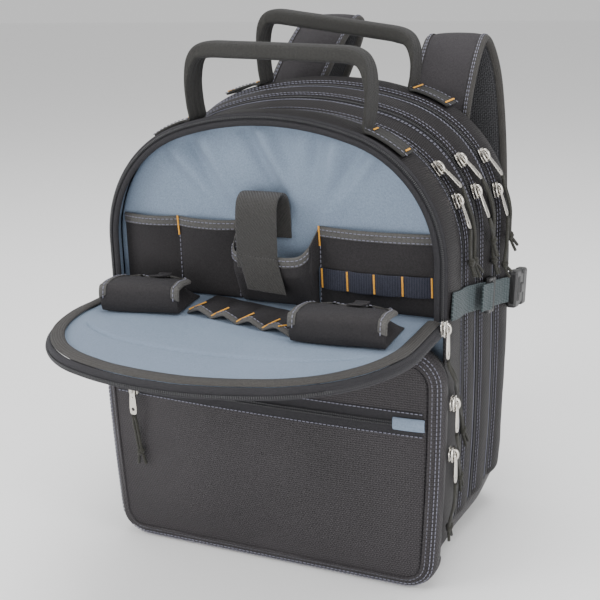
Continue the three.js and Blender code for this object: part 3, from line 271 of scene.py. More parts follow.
def tube(line, radius, sides=8, up=(0, 0, 1)):
    """Points, faces and UVs of a round tube with closed ends; radius is a number or one per point."""
    tangent, side, rise = frames_along(line, up)
    r = np.broadcast_to(radius, (len(line),))
    run = run_along(line)
    points, faces, uvs = [], [], []
    for i, p in enumerate(line):
        for j in range(sides):
            a = 2 * math.pi * j / sides
            points.append(p + r[i] * (math.cos(a) * side[i] + math.sin(a) * rise[i]))
            uvs.append((min(j, sides - j) / sides * 2 * math.pi * r[i], run[i]))
    for i in range(len(line) - 1):
        for j in range(sides):
            a, b = i * sides + j, i * sides + (j + 1) % sides
            faces.append((a, a + sides, b + sides, b))
    last = (len(line) - 1) * sides
    faces.append(tuple(range(sides)))
    faces.append(tuple(last + j for j in reversed(range(sides))))
    return points, faces, uvs


CORD_ROUTES = {
    "pull_front_upper": [
        (0.1585, -0.0217, 0.3545), (0.1629, -0.0198, 0.3409), (0.1670, -0.0181, 0.3274),
        (0.1691, -0.0169, 0.3138), (0.1694, -0.0167, 0.3002), (0.1705, -0.0183, 0.2867),
        (0.1755, -0.0133, 0.2737)],
    "pull_front_lower": [
        (0.1709, -0.0371, 0.3207), (0.1709, -0.0373, 0.3058), (0.1709, -0.0338, 0.2909),
        (0.1759, -0.0368, 0.2779)],
    "pull_middle_upper": [
        (0.1667, 0.0160, 0.3557), (0.1709, 0.0224, 0.3427), (0.1736, 0.0273, 0.3297),
        (0.1746, 0.0306, 0.3167), (0.1746, 0.0306, 0.3037), (0.1746, 0.0294, 0.2907),
        (0.1767, 0.0271, 0.2777), (0.1817, 0.0256, 0.2647)],
    "pull_middle_lower": [
        (0.1766, 0.0061, 0.3217), (0.1778, 0.0069, 0.3167), (0.1782, 0.0139, 0.3077),
        (0.1782, 0.0169, 0.2977), (0.1832, 0.0129, 0.2847)],
    "pull_rear_upper": [
        (0.1760, 0.0555, 0.3524), (0.1775, 0.0591, 0.3405), (0.1804, 0.0623, 0.3285),
        (0.1819, 0.0647, 0.3166), (0.1819, 0.0647, 0.3046), (0.1828, 0.0635, 0.2927),
        (0.1878, 0.0695, 0.2797)],
    "pull_rear_lower": [
        (0.1832, 0.0491, 0.3149), (0.1832, 0.0498, 0.2999), (0.1832, 0.0478, 0.2849),
        (0.1832, 0.0428, 0.2699), (0.1882, 0.0468, 0.2589)],
    "pull_tray": [
        (0.1713, -0.1036, 0.2219), (0.1728, -0.1012, 0.2145), (0.1758, -0.0951, 0.2029),
        (0.1733, -0.0821, 0.1879), (0.1713, -0.0661, 0.1699), (0.1697, -0.0521, 0.1499),
        (0.1697, -0.0461, 0.1339), (0.1731, -0.0431, 0.1199)],
    "pull_pocket_upper": [
        (0.1783, -0.0970, 0.1529), (0.1783, -0.0943, 0.1454), (0.1774, -0.0863, 0.1344),
        (0.1729, -0.0723, 0.1204), (0.1699, -0.0583, 0.1044), (0.1689, -0.0503, 0.0894),
        (0.1699, -0.0473, 0.0754)],
    "pull_pocket_lower": [
        (0.1776, -0.0970, 0.1050), (0.1774, -0.0960, 0.0970), (0.1759, -0.0930, 0.0829),
        (0.1724, -0.0900, 0.0689), (0.1699, -0.0870, 0.0570), (0.1699, -0.0840, 0.0430)],
    "pull_slot": [
        (-0.1320, -0.1278, 0.1369), (-0.1318, -0.1266, 0.1289), (-0.1315, -0.1252, 0.1189),
        (-0.1310, -0.1242, 0.1089), (-0.1300, -0.1236, 0.0989), (-0.1290, -0.1236, 0.0849)],
}
STRAND = 1.5  # radius of one strand, millimetres


def blob(centre, radius, rings=7, around=10):
    """Points, faces and UVs of a lumpy knot."""
    line = np.array([[0, 0, radius * math.cos(math.pi * t)] for t in np.linspace(0.02, 0.98, rings)])
    radii = np.array([radius * math.sin(math.pi * t) for t in np.linspace(0.02, 0.98, rings)])
    points, faces, uvs = tube(line, radii, around, up=(0, 1, 0))
    lumps = [p * (1 + 0.12 * math.sin(1.3 * p[2] + 3 * math.atan2(p[1], p[0]))) for p in points]
    return [np.array(centre) + p for p in lumps], faces, uvs


def merged(parts):
    """Joins (points, faces, uvs) parts into one."""
    points, faces, uvs = [], [], []
    for part_points, part_faces, part_uvs in parts:
        base = len(points)
        points += list(part_points)
        faces += [tuple(base + i for i in face) for face in part_faces]
        uvs += list(part_uvs)
    return points, faces, uvs


for name, route in CORD_ROUTES.items():
    middle = smooth_line(np.array(route) * PER_METRE, 2.2)
    outward = (0, -1, 0) if name == "pull_slot" else (1, 0, 0)
    tangent, side, _ = frames_along(middle, outward)
    count = len(middle)
    knot_at = int(np.argmin(np.linalg.norm(middle - np.array(route[-2]) * PER_METRE, axis=1)))
    spread = np.interp(np.arange(count), [0, 4, knot_at, count - 1], [0.9, 1.6, 1.5, 4.2])
    strands = [tube(middle + side * (spread * way)[:, None], STRAND, 8, outward) for way in (1, -1)]
    points, faces, uvs = merged(strands)
    cord = new_piece(name + "_cord", points, faces, braid, uvs=uvs)
    centre = middle[knot_at]
    lumps = [blob(centre + side[knot_at] * dx + tangent[knot_at] * dz, r)
             for dx, dz, r in ((0, 0, 3.7), (1.8, 1.6, 2.7), (-1.9, -1.2, 2.8))]
    points, faces, uvs = merged(lumps)
    knot = new_piece(name + "_knot", points, faces, braid, uvs=uvs)
    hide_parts(name)

# Zip sliders.
# Nickel-plated sliders: a waisted body on the chain, an oval bridge over it, and a long pressed tab
# with a small hole at the bridge and a round one near its end for the cord.

SLIDERS = {  # middle of the body on the chain, way along the chain, way out, swing of the tab in degrees
    "slider_front_upper": ((136.999, -31.28, 370.848), (0.6428, 0, -0.766), (0.766, 0, 0.6428), 20),
    "slider_front_lower": ((154.227, -31.28, 343.277), (0.4067, 0, -0.9135), (0.9135, 0, 0.4067), -12),
    "slider_middle_upper": ((147.327, 3.68, 372.916), (0.5736, 0, -0.8192), (0.8192, 0, 0.5736), 26),
    "slider_middle_lower": ((161.406, 3.68, 345.87), (0.342, 0, -0.9397), (0.9397, 0, 0.342), 5),
    "slider_rear_upper": ((158.063, 43.24, 371.124), (0.5075, 0, -0.8616), (0.8616, 0, 0.5075), 26),
    "slider_rear_lower": ((170.756, 43.24, 340.1), (0.2419, 0, -0.9703), (0.9703, 0, 0.2419), 12),
    "slider_tray": ((165.3, -103.6, 250), (0, 0, -1), (1, 0, 0), 0),
    "slider_pocket_upper": ((172.268, -97, 181), (0, 0, -1), (1, 0, 0), 0),
    "slider_pocket_lower": ((171.605, -97, 133), (0, 0, -1), (1, 0, 0), 0),
    "slider_slot": ((-132, -121.806, 165), (0, 0, -1), (0, -1, 0), 0),
}
nickel = plain_material("nickel_plate", (0.56, 0.535, 0.49), 0.2, 1.0)
tree = nickel.node_tree
scuffs = tree.nodes.new("ShaderNodeTexNoise")
scuffs.inputs["Scale"].default_value = 420
scuffs.inputs["Detail"].default_value = 5
coords = tree.nodes.new("ShaderNodeTexCoord")
tree.links.new(coords.outputs["Object"], scuffs.inputs["Vector"])
dull = tree.nodes.new("ShaderNodeMapRange")
dull.inputs["From Min"].default_value, dull.inputs["From Max"].default_value = 0.35, 0.7
dull.inputs["To Min"].default_value, dull.inputs["To Max"].default_value = 0.14, 0.38
tree.links.new(scuffs.outputs[0], dull.inputs["Value"])
tree.links.new(dull.outputs[0], tree.nodes["Principled BSDF"].inputs["Roughness"])
dents = tree.nodes.new("ShaderNodeBump")
dents.inputs["Strength"].default_value = 0.2
dents.inputs["Distance"].default_value = 0.0002
tree.links.new(scuffs.outputs[0], dents.inputs["Height"])
tree.links.new(dents.outputs[0], tree.nodes["Principled BSDF"].inputs["Normal"])


def pressed_plate(outline, holes, z, thick, bevel):
    """A flat pressed plate as a bmesh, from an outline and round holes, with softened edges."""
    curve = bpy.data.curves.new("plate", "CURVE")
    curve.dimensions = "2D"
    curve.fill_mode = "BOTH"
    curve.extrude = thick / 2 - bevel
    curve.bevel_depth = bevel
    curve.bevel_resolution = 2
    loops = [outline] + [[(cx + r * math.cos(a), cy + r * math.sin(a)) for a in
                          np.linspace(0, 2 * math.pi, 12, endpoint=False)] for cx, cy, r in holes]
    for loop in loops:
        spline = curve.splines.new("POLY")
        spline.points.add(len(loop) - 1)
        for point, (x, y) in zip(spline.points, loop):
            point.co = (x, y, 0, 1)
        spline.use_cyclic_u = True
    holder = bpy.data.objects.new("plate", curve)
    mesh = bpy.data.meshes.new_from_object(holder)
    bpy.data.objects.remove(holder)
    bpy.data.curves.remove(curve)
    points = [np.array((*v.co[:2], v.co[2] + z)) for v in mesh.vertices]
    faces = [tuple(p.vertices) for p in mesh.polygons]
    bpy.data.meshes.remove(mesh)
    return points, faces, [(0, 0)] * len(points)


def slider_parts(swing):
    """One slider about its own middle: x along the chain, z out."""
    body = pressed_plate([(-6.5, -2.7), (-5.6, -3.3), (0, -4.4), (5.4, -4.5), (6.4, -3.7), (6.4, 3.7),
                          (5.4, 4.5),
                          (0, 4.4), (-5.6, 3.3), (-6.5, 2.7)], [], 3.6, 1.8, 0.5)
    base = pressed_plate([(-6.2, -2.4), (0, -4), (6.1, -4.1), (6.1, 4.1), (0, 4), (-6.2, 2.4)], [], 0.7, 1.4,
                         0.4)
    post = pressed_plate([(-5.8, -1), (-2.5, -1.5), (-2.5, 1.5), (-5.8, 1)], [], 2.1, 2.4, 0.3)
    arc = smooth_line([(-4.6, 0, 4.2), (-4.2, 0, 6.4), (-1.5, 0, 7.7), (1.8, 0, 7.6), (4.2, 0, 6.3),
                       (4.6, 0, 4.2)], 1.0)
    bridge = tube(arc, 1.15, 8, (0, 1, 0))
    wide = [(p * np.array((1, 1.45, 1))) for p in bridge[0]]
    tab = pressed_plate([(-1.5, -2.2), (1.5, -2.7), (6.5, -2.5), (13, -3.1), (20, -3.5), (25, -3.3),
                         (26.6, -2.2),
                         (27, 0), (26.6, 2.2), (25, 3.3), (20, 3.5), (13, 3.1), (6.5, 2.5), (1.5, 2.7),
                         (-1.5, 2.2),
                         (-2.2, 0)], [(9.5, 0, 0.85), (21.6, 0, 2.1)], 6.0, 1.3, 0.35)
    c, s = math.cos(math.radians(swing)), math.sin(math.radians(swing))
    turned = [np.array((c * p[0] - s * p[1], s * p[0] + c * p[1], p[2])) for p in tab[0]]
    return merged([body, base, post, (wide, bridge[1], bridge[2]), (turned, tab[1], tab[2])])


for name, (spot, along, out, swing) in SLIDERS.items():
    x, z = np.array(along, float), np.array(out, float)
    turn = np.stack([x, np.cross(z, x), z], 1)
    points, faces, uvs = slider_parts(swing)
    slider = new_piece(name + "_nickel", [np.array(spot) + turn @ p for p in points], faces, nickel)
    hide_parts(name)

# Sewn bands of the bag.
# Four bands of coated ballistic nylon follow the arch from one lower corner to the other. Each one
# swells a little between its seams and is topstitched twice beside every zip.

BODY_DEPTH, HALF_WIDTH, HEIGHT, SHOULDER_R, CROWN_RISE = 184, 165, 423, 115, 8
RIM_Y, BACK_Y, CORNER_R, FABRIC, ZIP_WIDTH = -92, 92, 30, 2, 8
SECTIONS = [(0, 1, 1, 1), (0.33, 0.985, 0.99, 1.05), (0.52, 1.01, 1.014, 1.15), (0.735, 1.045, 1.028, 1.35),
            (1, 1.045, 1.022, 1.6)]  # depth, width, height and corner, as shares of the rim's
ZIP_YS = [RIM_Y + BODY_DEPTH * row[0] for row in SECTIONS[1:4]]


def section_at(y):
    share = min(max((y - RIM_Y) / BODY_DEPTH, 0), 1)
    columns = list(zip(*SECTIONS))
    wide, high, corner = (np.interp(share, columns[0], column) for column in columns[1:])
    return HALF_WIDTH * wide, HEIGHT * high, CORNER_R * corner


def lean_at(z):
    return 8 * max(0.0, 1 - z / 207) ** 2


def arch_point(w, h, foot, t, out=0.0):
    """A point of the arch and its outward way; t runs from -1 at the left foot to 1 at the right."""
    drop = SHOULDER_R + CROWN_RISE
    spring, inset = h - drop, w - SHOULDER_R
    crown_r = (inset ** 2 + drop ** 2 - SHOULDER_R ** 2) / (2 * CROWN_RISE)
    crown_half = math.atan2(inset, crown_r - drop)
    s = abs(t)
    if s < 0.12:
        a = crown_half * s / 0.12
        x, z, nx, nz = crown_r * math.sin(a), h - crown_r + crown_r * math.cos(a), math.sin(a), math.cos(a)
    elif s < 0.45:
        a = crown_half + (math.pi / 2 - crown_half) * (s - 0.12) / 0.33
        nx, nz = math.sin(a), math.cos(a)
        x, z = inset + SHOULDER_R * nx, spring + SHOULDER_R * nz
    else:
        z = spring + (foot - spring) * (s - 0.45) / 0.55
        x, nx, nz = w - lean_at(z), 1.0, 0.0
    sign = 1 if t >= 0 else -1
    return np.array((sign * (x + out * nx), 0, z + out * nz)), np.array((sign * nx, 0, nz))


def seam_y(y, z):
    """The seams lie a little further forward over the shoulders and further back low on the sides."""
    if y <= RIM_Y + 1 or y >= BACK_Y - 1:
        return y
    return y - 3 + 7 * (1 - np.clip((z - 120) / 230, 0, 1)) - 3 * np.clip((z - 380) / 50, 0, 1)


def closed_shell(name, outer, inner, material, joined=False, uvs=None):
    """A closed wall between two grids of points, rows by columns, with metre-scaled UVs."""
    outer, inner = np.array(outer), np.array(inner)
    rows, cols = outer.shape[:2]
    points = list(outer.reshape(-1, 3)) + list(inner.reshape(-1, 3))
    at = lambda layer, i, j: layer * rows * cols + i * cols + (j % cols)
    faces = []
    last = cols if joined else cols - 1
    for j in range(last):
        for i in range(rows - 1):
            faces.append((at(0, i, j), at(0, i, j + 1), at(0, i + 1, j + 1), at(0, i + 1, j)))
            faces.append((at(1, i, j), at(1, i + 1, j), at(1, i + 1, j + 1), at(1, i, j + 1)))
        faces.append((at(0, 0, j), at(1, 0, j), at(1, 0, j + 1), at(0, 0, j + 1)))
        faces.append((at(0, rows - 1, j), at(0, rows - 1, j + 1), at(1, rows - 1, j + 1), at(1, rows - 1, j)))
    if not joined:
        for i in range(rows - 1):
            faces.append((at(0, i, 0), at(0, i + 1, 0), at(1, i + 1, 0), at(1, i, 0)))
            faces.append((at(0, i, cols - 1), at(1, i, cols - 1), at(1, i + 1, cols - 1),
                          at(0, i + 1, cols - 1)))
    if uvs is None:
        steps_along = np.linalg.norm(np.diff(outer, axis=1), axis=2)
        steps_across = np.linalg.norm(np.diff(outer, axis=0), axis=2)
        along = np.concatenate([np.zeros((rows, 1)), np.cumsum(steps_along, axis=1)], 1)
        across = np.concatenate([np.zeros((1, cols)), np.cumsum(steps_across, axis=0)], 0)
        along = np.broadcast_to(along.mean(0), (rows, cols))
        uvs = np.stack([across, along], 2)
    flat = [tuple(p) for p in uvs.reshape(-1, 2)]
    return new_piece(name, points, faces, material, uvs=flat + flat)


def soften(piece, levels=1):
    """Rounds a piece's edges with one live subdivision."""
    modifier = piece.modifiers.new("soft", "SUBSURF")
    modifier.levels = modifier.render_levels = levels


def crease(p, size, depth, seed=0.0):
    """A smooth bump in millimetres from seeded noise, for soft cloth."""
    return depth * noise.noise(Vector((p[0] / size + seed, p[1] / size, p[2] / size)))


ballistic = woven("ballistic_nylon", (0.0020, 0.0017, 0.0019), (0.031, 0.0272, 0.0300), 0.0014, 0.0021,
                  relief=0.0010,
                  rough=(0.38, 0.6), sheen=0.03, cloud=0.3, specular=0.3)
stitch_thread = woven("stitch_thread", (0.12, 0.12, 0.15), (0.32, 0.32, 0.39), 0.0003, 0.0005, twill=1.0,
                      relief=0.0001, sheen=0.1, cloud=0.1)
orange_thread = woven("orange_thread", (0.55, 0.26, 0.03), (0.86, 0.50, 0.12), 0.0004, 0.0012, twill=0.6,
                      relief=0.0003, sheen=0.15, cloud=0.15)

# Painted shade: the bands are the same ballistic nylon as the rest, in a copy about half as light, so the arch looks
# darker than the pocket's face.
band_nylon_painted_shade = woven("band_nylon_painted_shade", (0.0015, 0.0013, 0.0014), (0.0175, 0.0153, 0.0168), 0.0014, 0.0021,
                   relief=0.0009,
                   rough=(0.45, 0.65), sheen=0.0, cloud=0.25, specular=0.2)
BANDS = {"band_front": (RIM_Y, ZIP_YS[0], 4), "band_middle_front": (ZIP_YS[0], ZIP_YS[1], 2.5),
         "band_middle_rear": (ZIP_YS[1], ZIP_YS[2], 3), "band_rear": (ZIP_YS[2], BACK_Y, 6.5)}
stitch_lines = []  # (points, ways off the cloth) of every row of lavender stitches on the whole bag
tack_lines = []  # the same for the orange bartacks


def band_surface(y_from, y_to, bulge, t, share, out=0.0):
    """A point of a band; share runs from its front seam to its rear one."""
    probe, _ = arch_point(*section_at(y_from)[:2], 60, t)
    front = y_from if y_from == RIM_Y else seam_y(y_from, probe[2]) + ZIP_WIDTH / 2
    rear = y_to if y_to == BACK_Y else seam_y(y_to, probe[2]) - ZIP_WIDTH / 2
    y = front + (rear - front) * share
    w, h, corner = section_at(y)
    swell = bulge * (1 - abs(2 * share - 1) ** 2.2)
    p, normal = arch_point(w, h, corner + 0.3, t, swell + out)
    p[1] = y
    return p, normal


for name, (y_from, y_to, bulge) in BANDS.items():
    shares = np.concatenate([[0, 0.02, 0.06], np.linspace(0.12, 0.88, 9), [0.94, 0.98, 1]])
    ts = np.linspace(-1, 1, 141)
    outer, inner = [], []
    for share in shares:
        edge = min(share, 1 - share)
        row, low = [], []
        for t in ts:
            p, normal = band_surface(y_from, y_to, bulge, t, share)
            low.append(p - normal * FABRIC)
            ripple = crease(p, 60, 1.3, 2.0) + crease(p, 22, 0.5, 7.0)
            row.append(p + normal * ripple * min(1, edge * 8) * (1 if abs(t) < 0.97 else 0))
        outer.append(row)
        inner.append(low)
    band = closed_shell(name + "_cloth", outer, inner, band_nylon_painted_shade)
    soften(band)
    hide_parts(name)
    depth = y_to - y_from - ZIP_WIDTH
    for inset in (1.8, 4.6):
        for share in (inset / depth, 1 - inset / depth):
            if (share < 0.5 and y_from == RIM_Y) or (share > 0.5 and y_to == BACK_Y):
                continue
            row = [band_surface(y_from, y_to, bulge, t, share, 0.35) for t in np.linspace(-0.98, 0.98, 241)]
            stitch_lines.append(([p for p, _ in row], [normal for _, normal in row]))

# Zips between the bands.
# Coil zips: black tape with two rows of coils that meet in the middle, a seam on both sides.

zip_tape = woven("zip_tape", (0.004, 0.004, 0.005), (0.030, 0.029, 0.032), 0.0007, 0.0004, relief=0.0002,
                 sheen=0.1, cloud=0.15)


def mottled(material, scale, shiny, dull):
    """Lets a plain material's roughness change from place to place."""
    tree = material.node_tree
    grain = tree.nodes.new("ShaderNodeTexNoise")
    grain.inputs["Scale"].default_value = scale
    tree.links.new(tree.nodes.new("ShaderNodeTexCoord").outputs["Object"], grain.inputs["Vector"])
    spread = tree.nodes.new("ShaderNodeMapRange")
    spread.inputs["To Min"].default_value, spread.inputs["To Max"].default_value = shiny, dull
    tree.links.new(grain.outputs[0], spread.inputs["Value"])
    tree.links.new(spread.outputs[0], tree.nodes["Principled BSDF"].inputs["Roughness"])
    return material


coil_plastic = mottled(plain_material("zip_coil", (0.018, 0.018, 0.020), 0.32), 300, 0.22, 0.5)


def repeat_tree(name, material):
    """A Geometry Nodes tree that sets one small shape along a line of edges: every Pitch, sized by
    Length along it, Width across it and Height off the cloth, which the line's "off" attribute points to."""
    tree = bpy.data.node_groups.new(name, "GeometryNodeTree")
    for label, kind, value in (("Geometry", "NodeSocketGeometry", None), ("Pitch", "NodeSocketFloat", 0.0016),
                               ("Length", "NodeSocketFloat", 0.001), ("Width", "NodeSocketFloat", 0.004),
                               ("Height", "NodeSocketFloat", 0.001)):
        socket = tree.interface.new_socket(label, in_out="INPUT", socket_type=kind)
        if value is not None:
            socket.default_value = value
    tree.interface.new_socket("Geometry", in_out="OUTPUT", socket_type="NodeSocketGeometry")
    new, link = tree.nodes.new, tree.links.new
    inputs, output = new("NodeGroupInput"), new("NodeGroupOutput")
    curve = new("GeometryNodeMeshToCurve")
    link(inputs.outputs["Geometry"], curve.inputs[0])
    resample = new("GeometryNodeResampleCurve")
    resample.mode = "LENGTH"
    link(curve.outputs[0], resample.inputs["Curve"])
    link(inputs.outputs["Pitch"], resample.inputs["Length"])
    tangent = new("GeometryNodeInputTangent")
    off = new("GeometryNodeInputNamedAttribute")
    off.data_type = "FLOAT_VECTOR"
    off.inputs["Name"].default_value = "off"
    first = new("FunctionNodeAlignRotationToVector")
    first.axis = "X"
    link(tangent.outputs[0], first.inputs["Vector"])
    second = new("FunctionNodeAlignRotationToVector")
    second.axis, second.pivot_axis = "Z", "X"
    link(first.outputs[0], second.inputs["Rotation"])
    link(off.outputs[0], second.inputs["Vector"])
    shape = new("GeometryNodeMeshCube")
    shape.inputs["Vertices X"].default_value = shape.inputs["Vertices Y"].default_value = 3
    size = new("ShaderNodeCombineXYZ")
    for label, axis in (("Length", "X"), ("Width", "Y"), ("Height", "Z")):
        link(inputs.outputs[label], size.inputs[axis])
    link(size.outputs[0], shape.inputs["Size"])
    bow = new("GeometryNodeSetPosition")
    spot = new("GeometryNodeInputPosition")
    link(shape.outputs["Mesh"], bow.inputs["Geometry"])
    xyz = new("ShaderNodeSeparateXYZ")
    link(spot.outputs[0], xyz.inputs[0])
    away_x = node_math(tree, "DIVIDE", xyz.outputs[0], inputs.outputs["Length"])
    away_y = node_math(tree, "DIVIDE", xyz.outputs[1], inputs.outputs["Width"])
    away = node_math(tree, "ADD", node_math(tree, "MULTIPLY", away_x, away_x),
                     node_math(tree, "MULTIPLY", away_y, away_y))
    flatter = node_math(tree, "SUBTRACT", 1.0, node_math(tree, "MULTIPLY", away, 1.5))
    bowed = new("ShaderNodeCombineXYZ")
    link(xyz.outputs[0], bowed.inputs["X"])
    link(xyz.outputs[1], bowed.inputs["Y"])
    link(node_math(tree, "MULTIPLY", xyz.outputs[2], flatter), bowed.inputs["Z"])
    link(bowed.outputs[0], bow.inputs["Position"])
    instance = new("GeometryNodeInstanceOnPoints")
    link(resample.outputs[0], instance.inputs["Points"])
    link(bow.outputs[0], instance.inputs["Instance"])
    link(second.outputs[0], instance.inputs["Rotation"])
    realize = new("GeometryNodeRealizeInstances")
    link(instance.outputs[0], realize.inputs[0])
    smooth = new("GeometryNodeSetShadeSmooth")
    link(realize.outputs[0], smooth.inputs["Geometry"])
    finish = new("GeometryNodeSetMaterial")
    finish.inputs["Material"].default_value = material
    link(smooth.outputs[0], finish.inputs["Geometry"])
    link(finish.outputs[0], output.inputs[0])
    return tree


def repeated(name, lines, tree, pitch, length, width, height):
    """Bakes a tree's shapes along lines of (points, ways off the cloth) into one plain mesh."""
    mesh = bpy.data.meshes.new(name)
    points, edges, ways = [], [], []
    for line, off in lines:
        base = len(points)
        points += [tuple(np.array(p) * MM) for p in line]
        edges += [(base + i, base + i + 1) for i in range(len(line) - 1)]
        ways += [tuple(o) for o in off]
    mesh.from_pydata(points, edges, [])
    layer = mesh.attributes.new("off", "FLOAT_VECTOR", "POINT")
    layer.data.foreach_set("vector", [c for way in ways for c in way])
    piece = bpy.data.objects.new(name, mesh)
    bpy.context.collection.objects.link(piece)
    modifier = piece.modifiers.new("repeat", "NODES")
    modifier.node_group = tree
    sizes = {"Pitch": pitch, "Length": length, "Width": width, "Height": height}
    for item in tree.interface.items_tree:
        if item.item_type == "SOCKET" and item.in_out == "INPUT" and item.name in sizes:
            modifier[item.identifier] = sizes[item.name]
    evaluated = piece.evaluated_get(bpy.context.evaluated_depsgraph_get())
    plain = bpy.data.meshes.new_from_object(evaluated)
    piece.modifiers.clear()
    piece.data = plain
    bpy.data.meshes.remove(mesh)
    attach(piece, "root")
    return piece


coil_tree = repeat_tree("zip_coils", coil_plastic)
for name, y in zip(("zip_front", "zip_middle", "zip_rear"), ZIP_YS):
    half = ZIP_WIDTH / 2 - 0.3
    ts = np.linspace(-1, 1, 141)
    outer, inner = [], []
    for dy, rise in ((-half, -0.5), (-half * 0.5, 0.1), (0, 0.3), (half * 0.5, 0.1), (half, -0.5)):
        line, low = [], []
        for t in ts:
            probe, _ = arch_point(*section_at(y)[:2], 60, t)
            w, h, corner = section_at(seam_y(y, probe[2]))
            p, normal = arch_point(w, h, corner + 0.6, t, rise)
            p[1] = seam_y(y, probe[2]) + dy
            line.append(p)
            low.append(p - normal * (rise + 2.5))
        outer.append(line)
        inner.append(low)
    tape = closed_shell(name + "_tape", outer, inner, zip_tape)
    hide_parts(name)
    coil_lines = []
    for dy in (-1.25, 1.25):
        line, off = [], []
        for t in np.linspace(-0.99, 0.99, 300):
            probe, _ = arch_point(*section_at(y)[:2], 60, t)
            w, h, corner = section_at(seam_y(y, probe[2]))
            p, normal = arch_point(w, h, corner, t, 0.75)
            p[1] = seam_y(y, probe[2]) + dy
            line.append(p)
            off.append(normal)
        coil_lines.append((line, off))
    repeated(name + "_coils", coil_lines, coil_tree, 0.0017, 0.0011, 0.0023, 0.0016)

# Bottom of the bag.
# One piece of the same nylon turns up round both lower corners.


def grid_of(surface, rows, cols):
    return np.array([[surface(u, v) for v in cols] for u in rows], float)


def off_surface(grid, hint):
    """Unit ways off a grid of points, on the side that hint points to."""
    down, along = np.gradient(grid, axis=0), np.gradient(grid, axis=1)
    way = np.cross(down, along)
    way /= np.maximum(np.linalg.norm(way, axis=2), 1e-9)[..., None]
    hint = np.array(hint, float)
    flip = np.sign((way * (hint - grid if hint.ndim == 1 and np.linalg.norm(hint) > 2 else hint)).sum(2))
    flip[flip == 0] = 1
    return way * flip[..., None]


def cloth(name, grid, hint, thick, material, node=None, joined=False, level=1, flat=None):
    """A sewn sheet: its visible side is grid, hint points off that side, and flat names the two axes
    its weave lies on where it is cut flat. Replaces the CAD node."""
    way = off_surface(grid, hint)
    piece = closed_shell(name, grid, grid - way * thick, material, joined,
                         grid[..., flat] if flat else None)
    if level:
        soften(piece, level)
    if node:
        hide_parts(node)
    return piece


def stitch(line, off, lift=0.25):
    """Adds a row of lavender stitches along a line of points."""
    line = np.array(line, float)
    off = np.broadcast_to(np.array(off, float), line.shape)
    stitch_lines.append((line + off * lift, off))


def base_point(w, corner, t, out=0.0):
    """The bottom's outline; t from -1 at the left corner's top to 1 at the right one's."""
    flat = w - lean_at(corner) - corner
    arc = corner * math.pi / 2
    share = arc / (arc + flat)
    s = abs(t)
    if s < 1 - share:
        x, z = flat * s / (1 - share), -out
    else:
        a = (s - 1 + share) / share * math.pi / 2
        x, z = flat + (corner + out) * math.sin(a), corner - (corner + out) * math.cos(a)
    return (x if t >= 0 else -x), z


ts = np.linspace(-1, 1, 61)
rows = []
for y in np.concatenate([[-101.6, -99, -95], np.linspace(-92, 92, 16)]):
    w, h, corner = section_at(y)
    w = 172 if y < -92.5 else w
    rows.append([(base_point(w, corner, t, -0.2)[0], y, base_point(w, corner, t, -0.2)[1] + 0.2) for t in ts])
cloth("base_panel_cloth", np.array(rows), (0, 0, 200), -FABRIC, ballistic, "base_panel")

# Padded back.
# Foam under air mesh, quilted into two upright pads and a lumbar pad.

air_mesh = woven("air_mesh", (0.002, 0.002, 0.0022), (0.060, 0.060, 0.064), 0.0021, 0.0018, relief=0.0012,
                 sheen=0.08, cloud=0.15)


def bag_outline(y, inset, count_arch=120, count_base=60):
    w, h, corner = section_at(y)
    top = [arch_point(w, h, corner, t, -inset)[0] for t in np.linspace(-1, 1, count_arch)]
    low = [base_point(w, corner, t, -inset) for t in np.linspace(1, -1, count_base)[1:-1]]
    return np.array([(p[0], p[2]) for p in top] + [(x, z) for x, z in low])


outline = bag_outline(BACK_Y, 0)
middle = np.array((0, 215))
shares = np.concatenate([[0.002, 0.006], np.linspace(0.03, 0.9, 25), [0.94, 0.97, 0.985, 1]])
front, back = [], []
for share in shares:
    ring = middle + (outline - middle) * share
    front.append([(x, BACK_Y + 0.4, z) for x, z in ring])
    row = []
    for x, z in ring:
        pad = abs(math.sin((abs(x) - 14) / 118 * math.pi)) ** 0.35 if 14 < abs(x) < 132 else 0
        lumbar = abs(math.sin((z - 20) / 100 * math.pi)) ** 0.35 if 20 < z < 120 else 0
        above = abs(math.sin((z - 128) / 250 * math.pi)) ** 0.35 if 128 < z < 378 else 0
        edge = min(1, (1 - share) * 14)
        row.append((x, BACK_Y + 5.5 + 4.4 * edge ** 0.5
                    + 4.5 * edge * max(lumbar if abs(x) < 134 else 0, above * pad), z))
    back.append(row)
back_pad = closed_shell("back_panel_pad", back, front, air_mesh, joined=True)


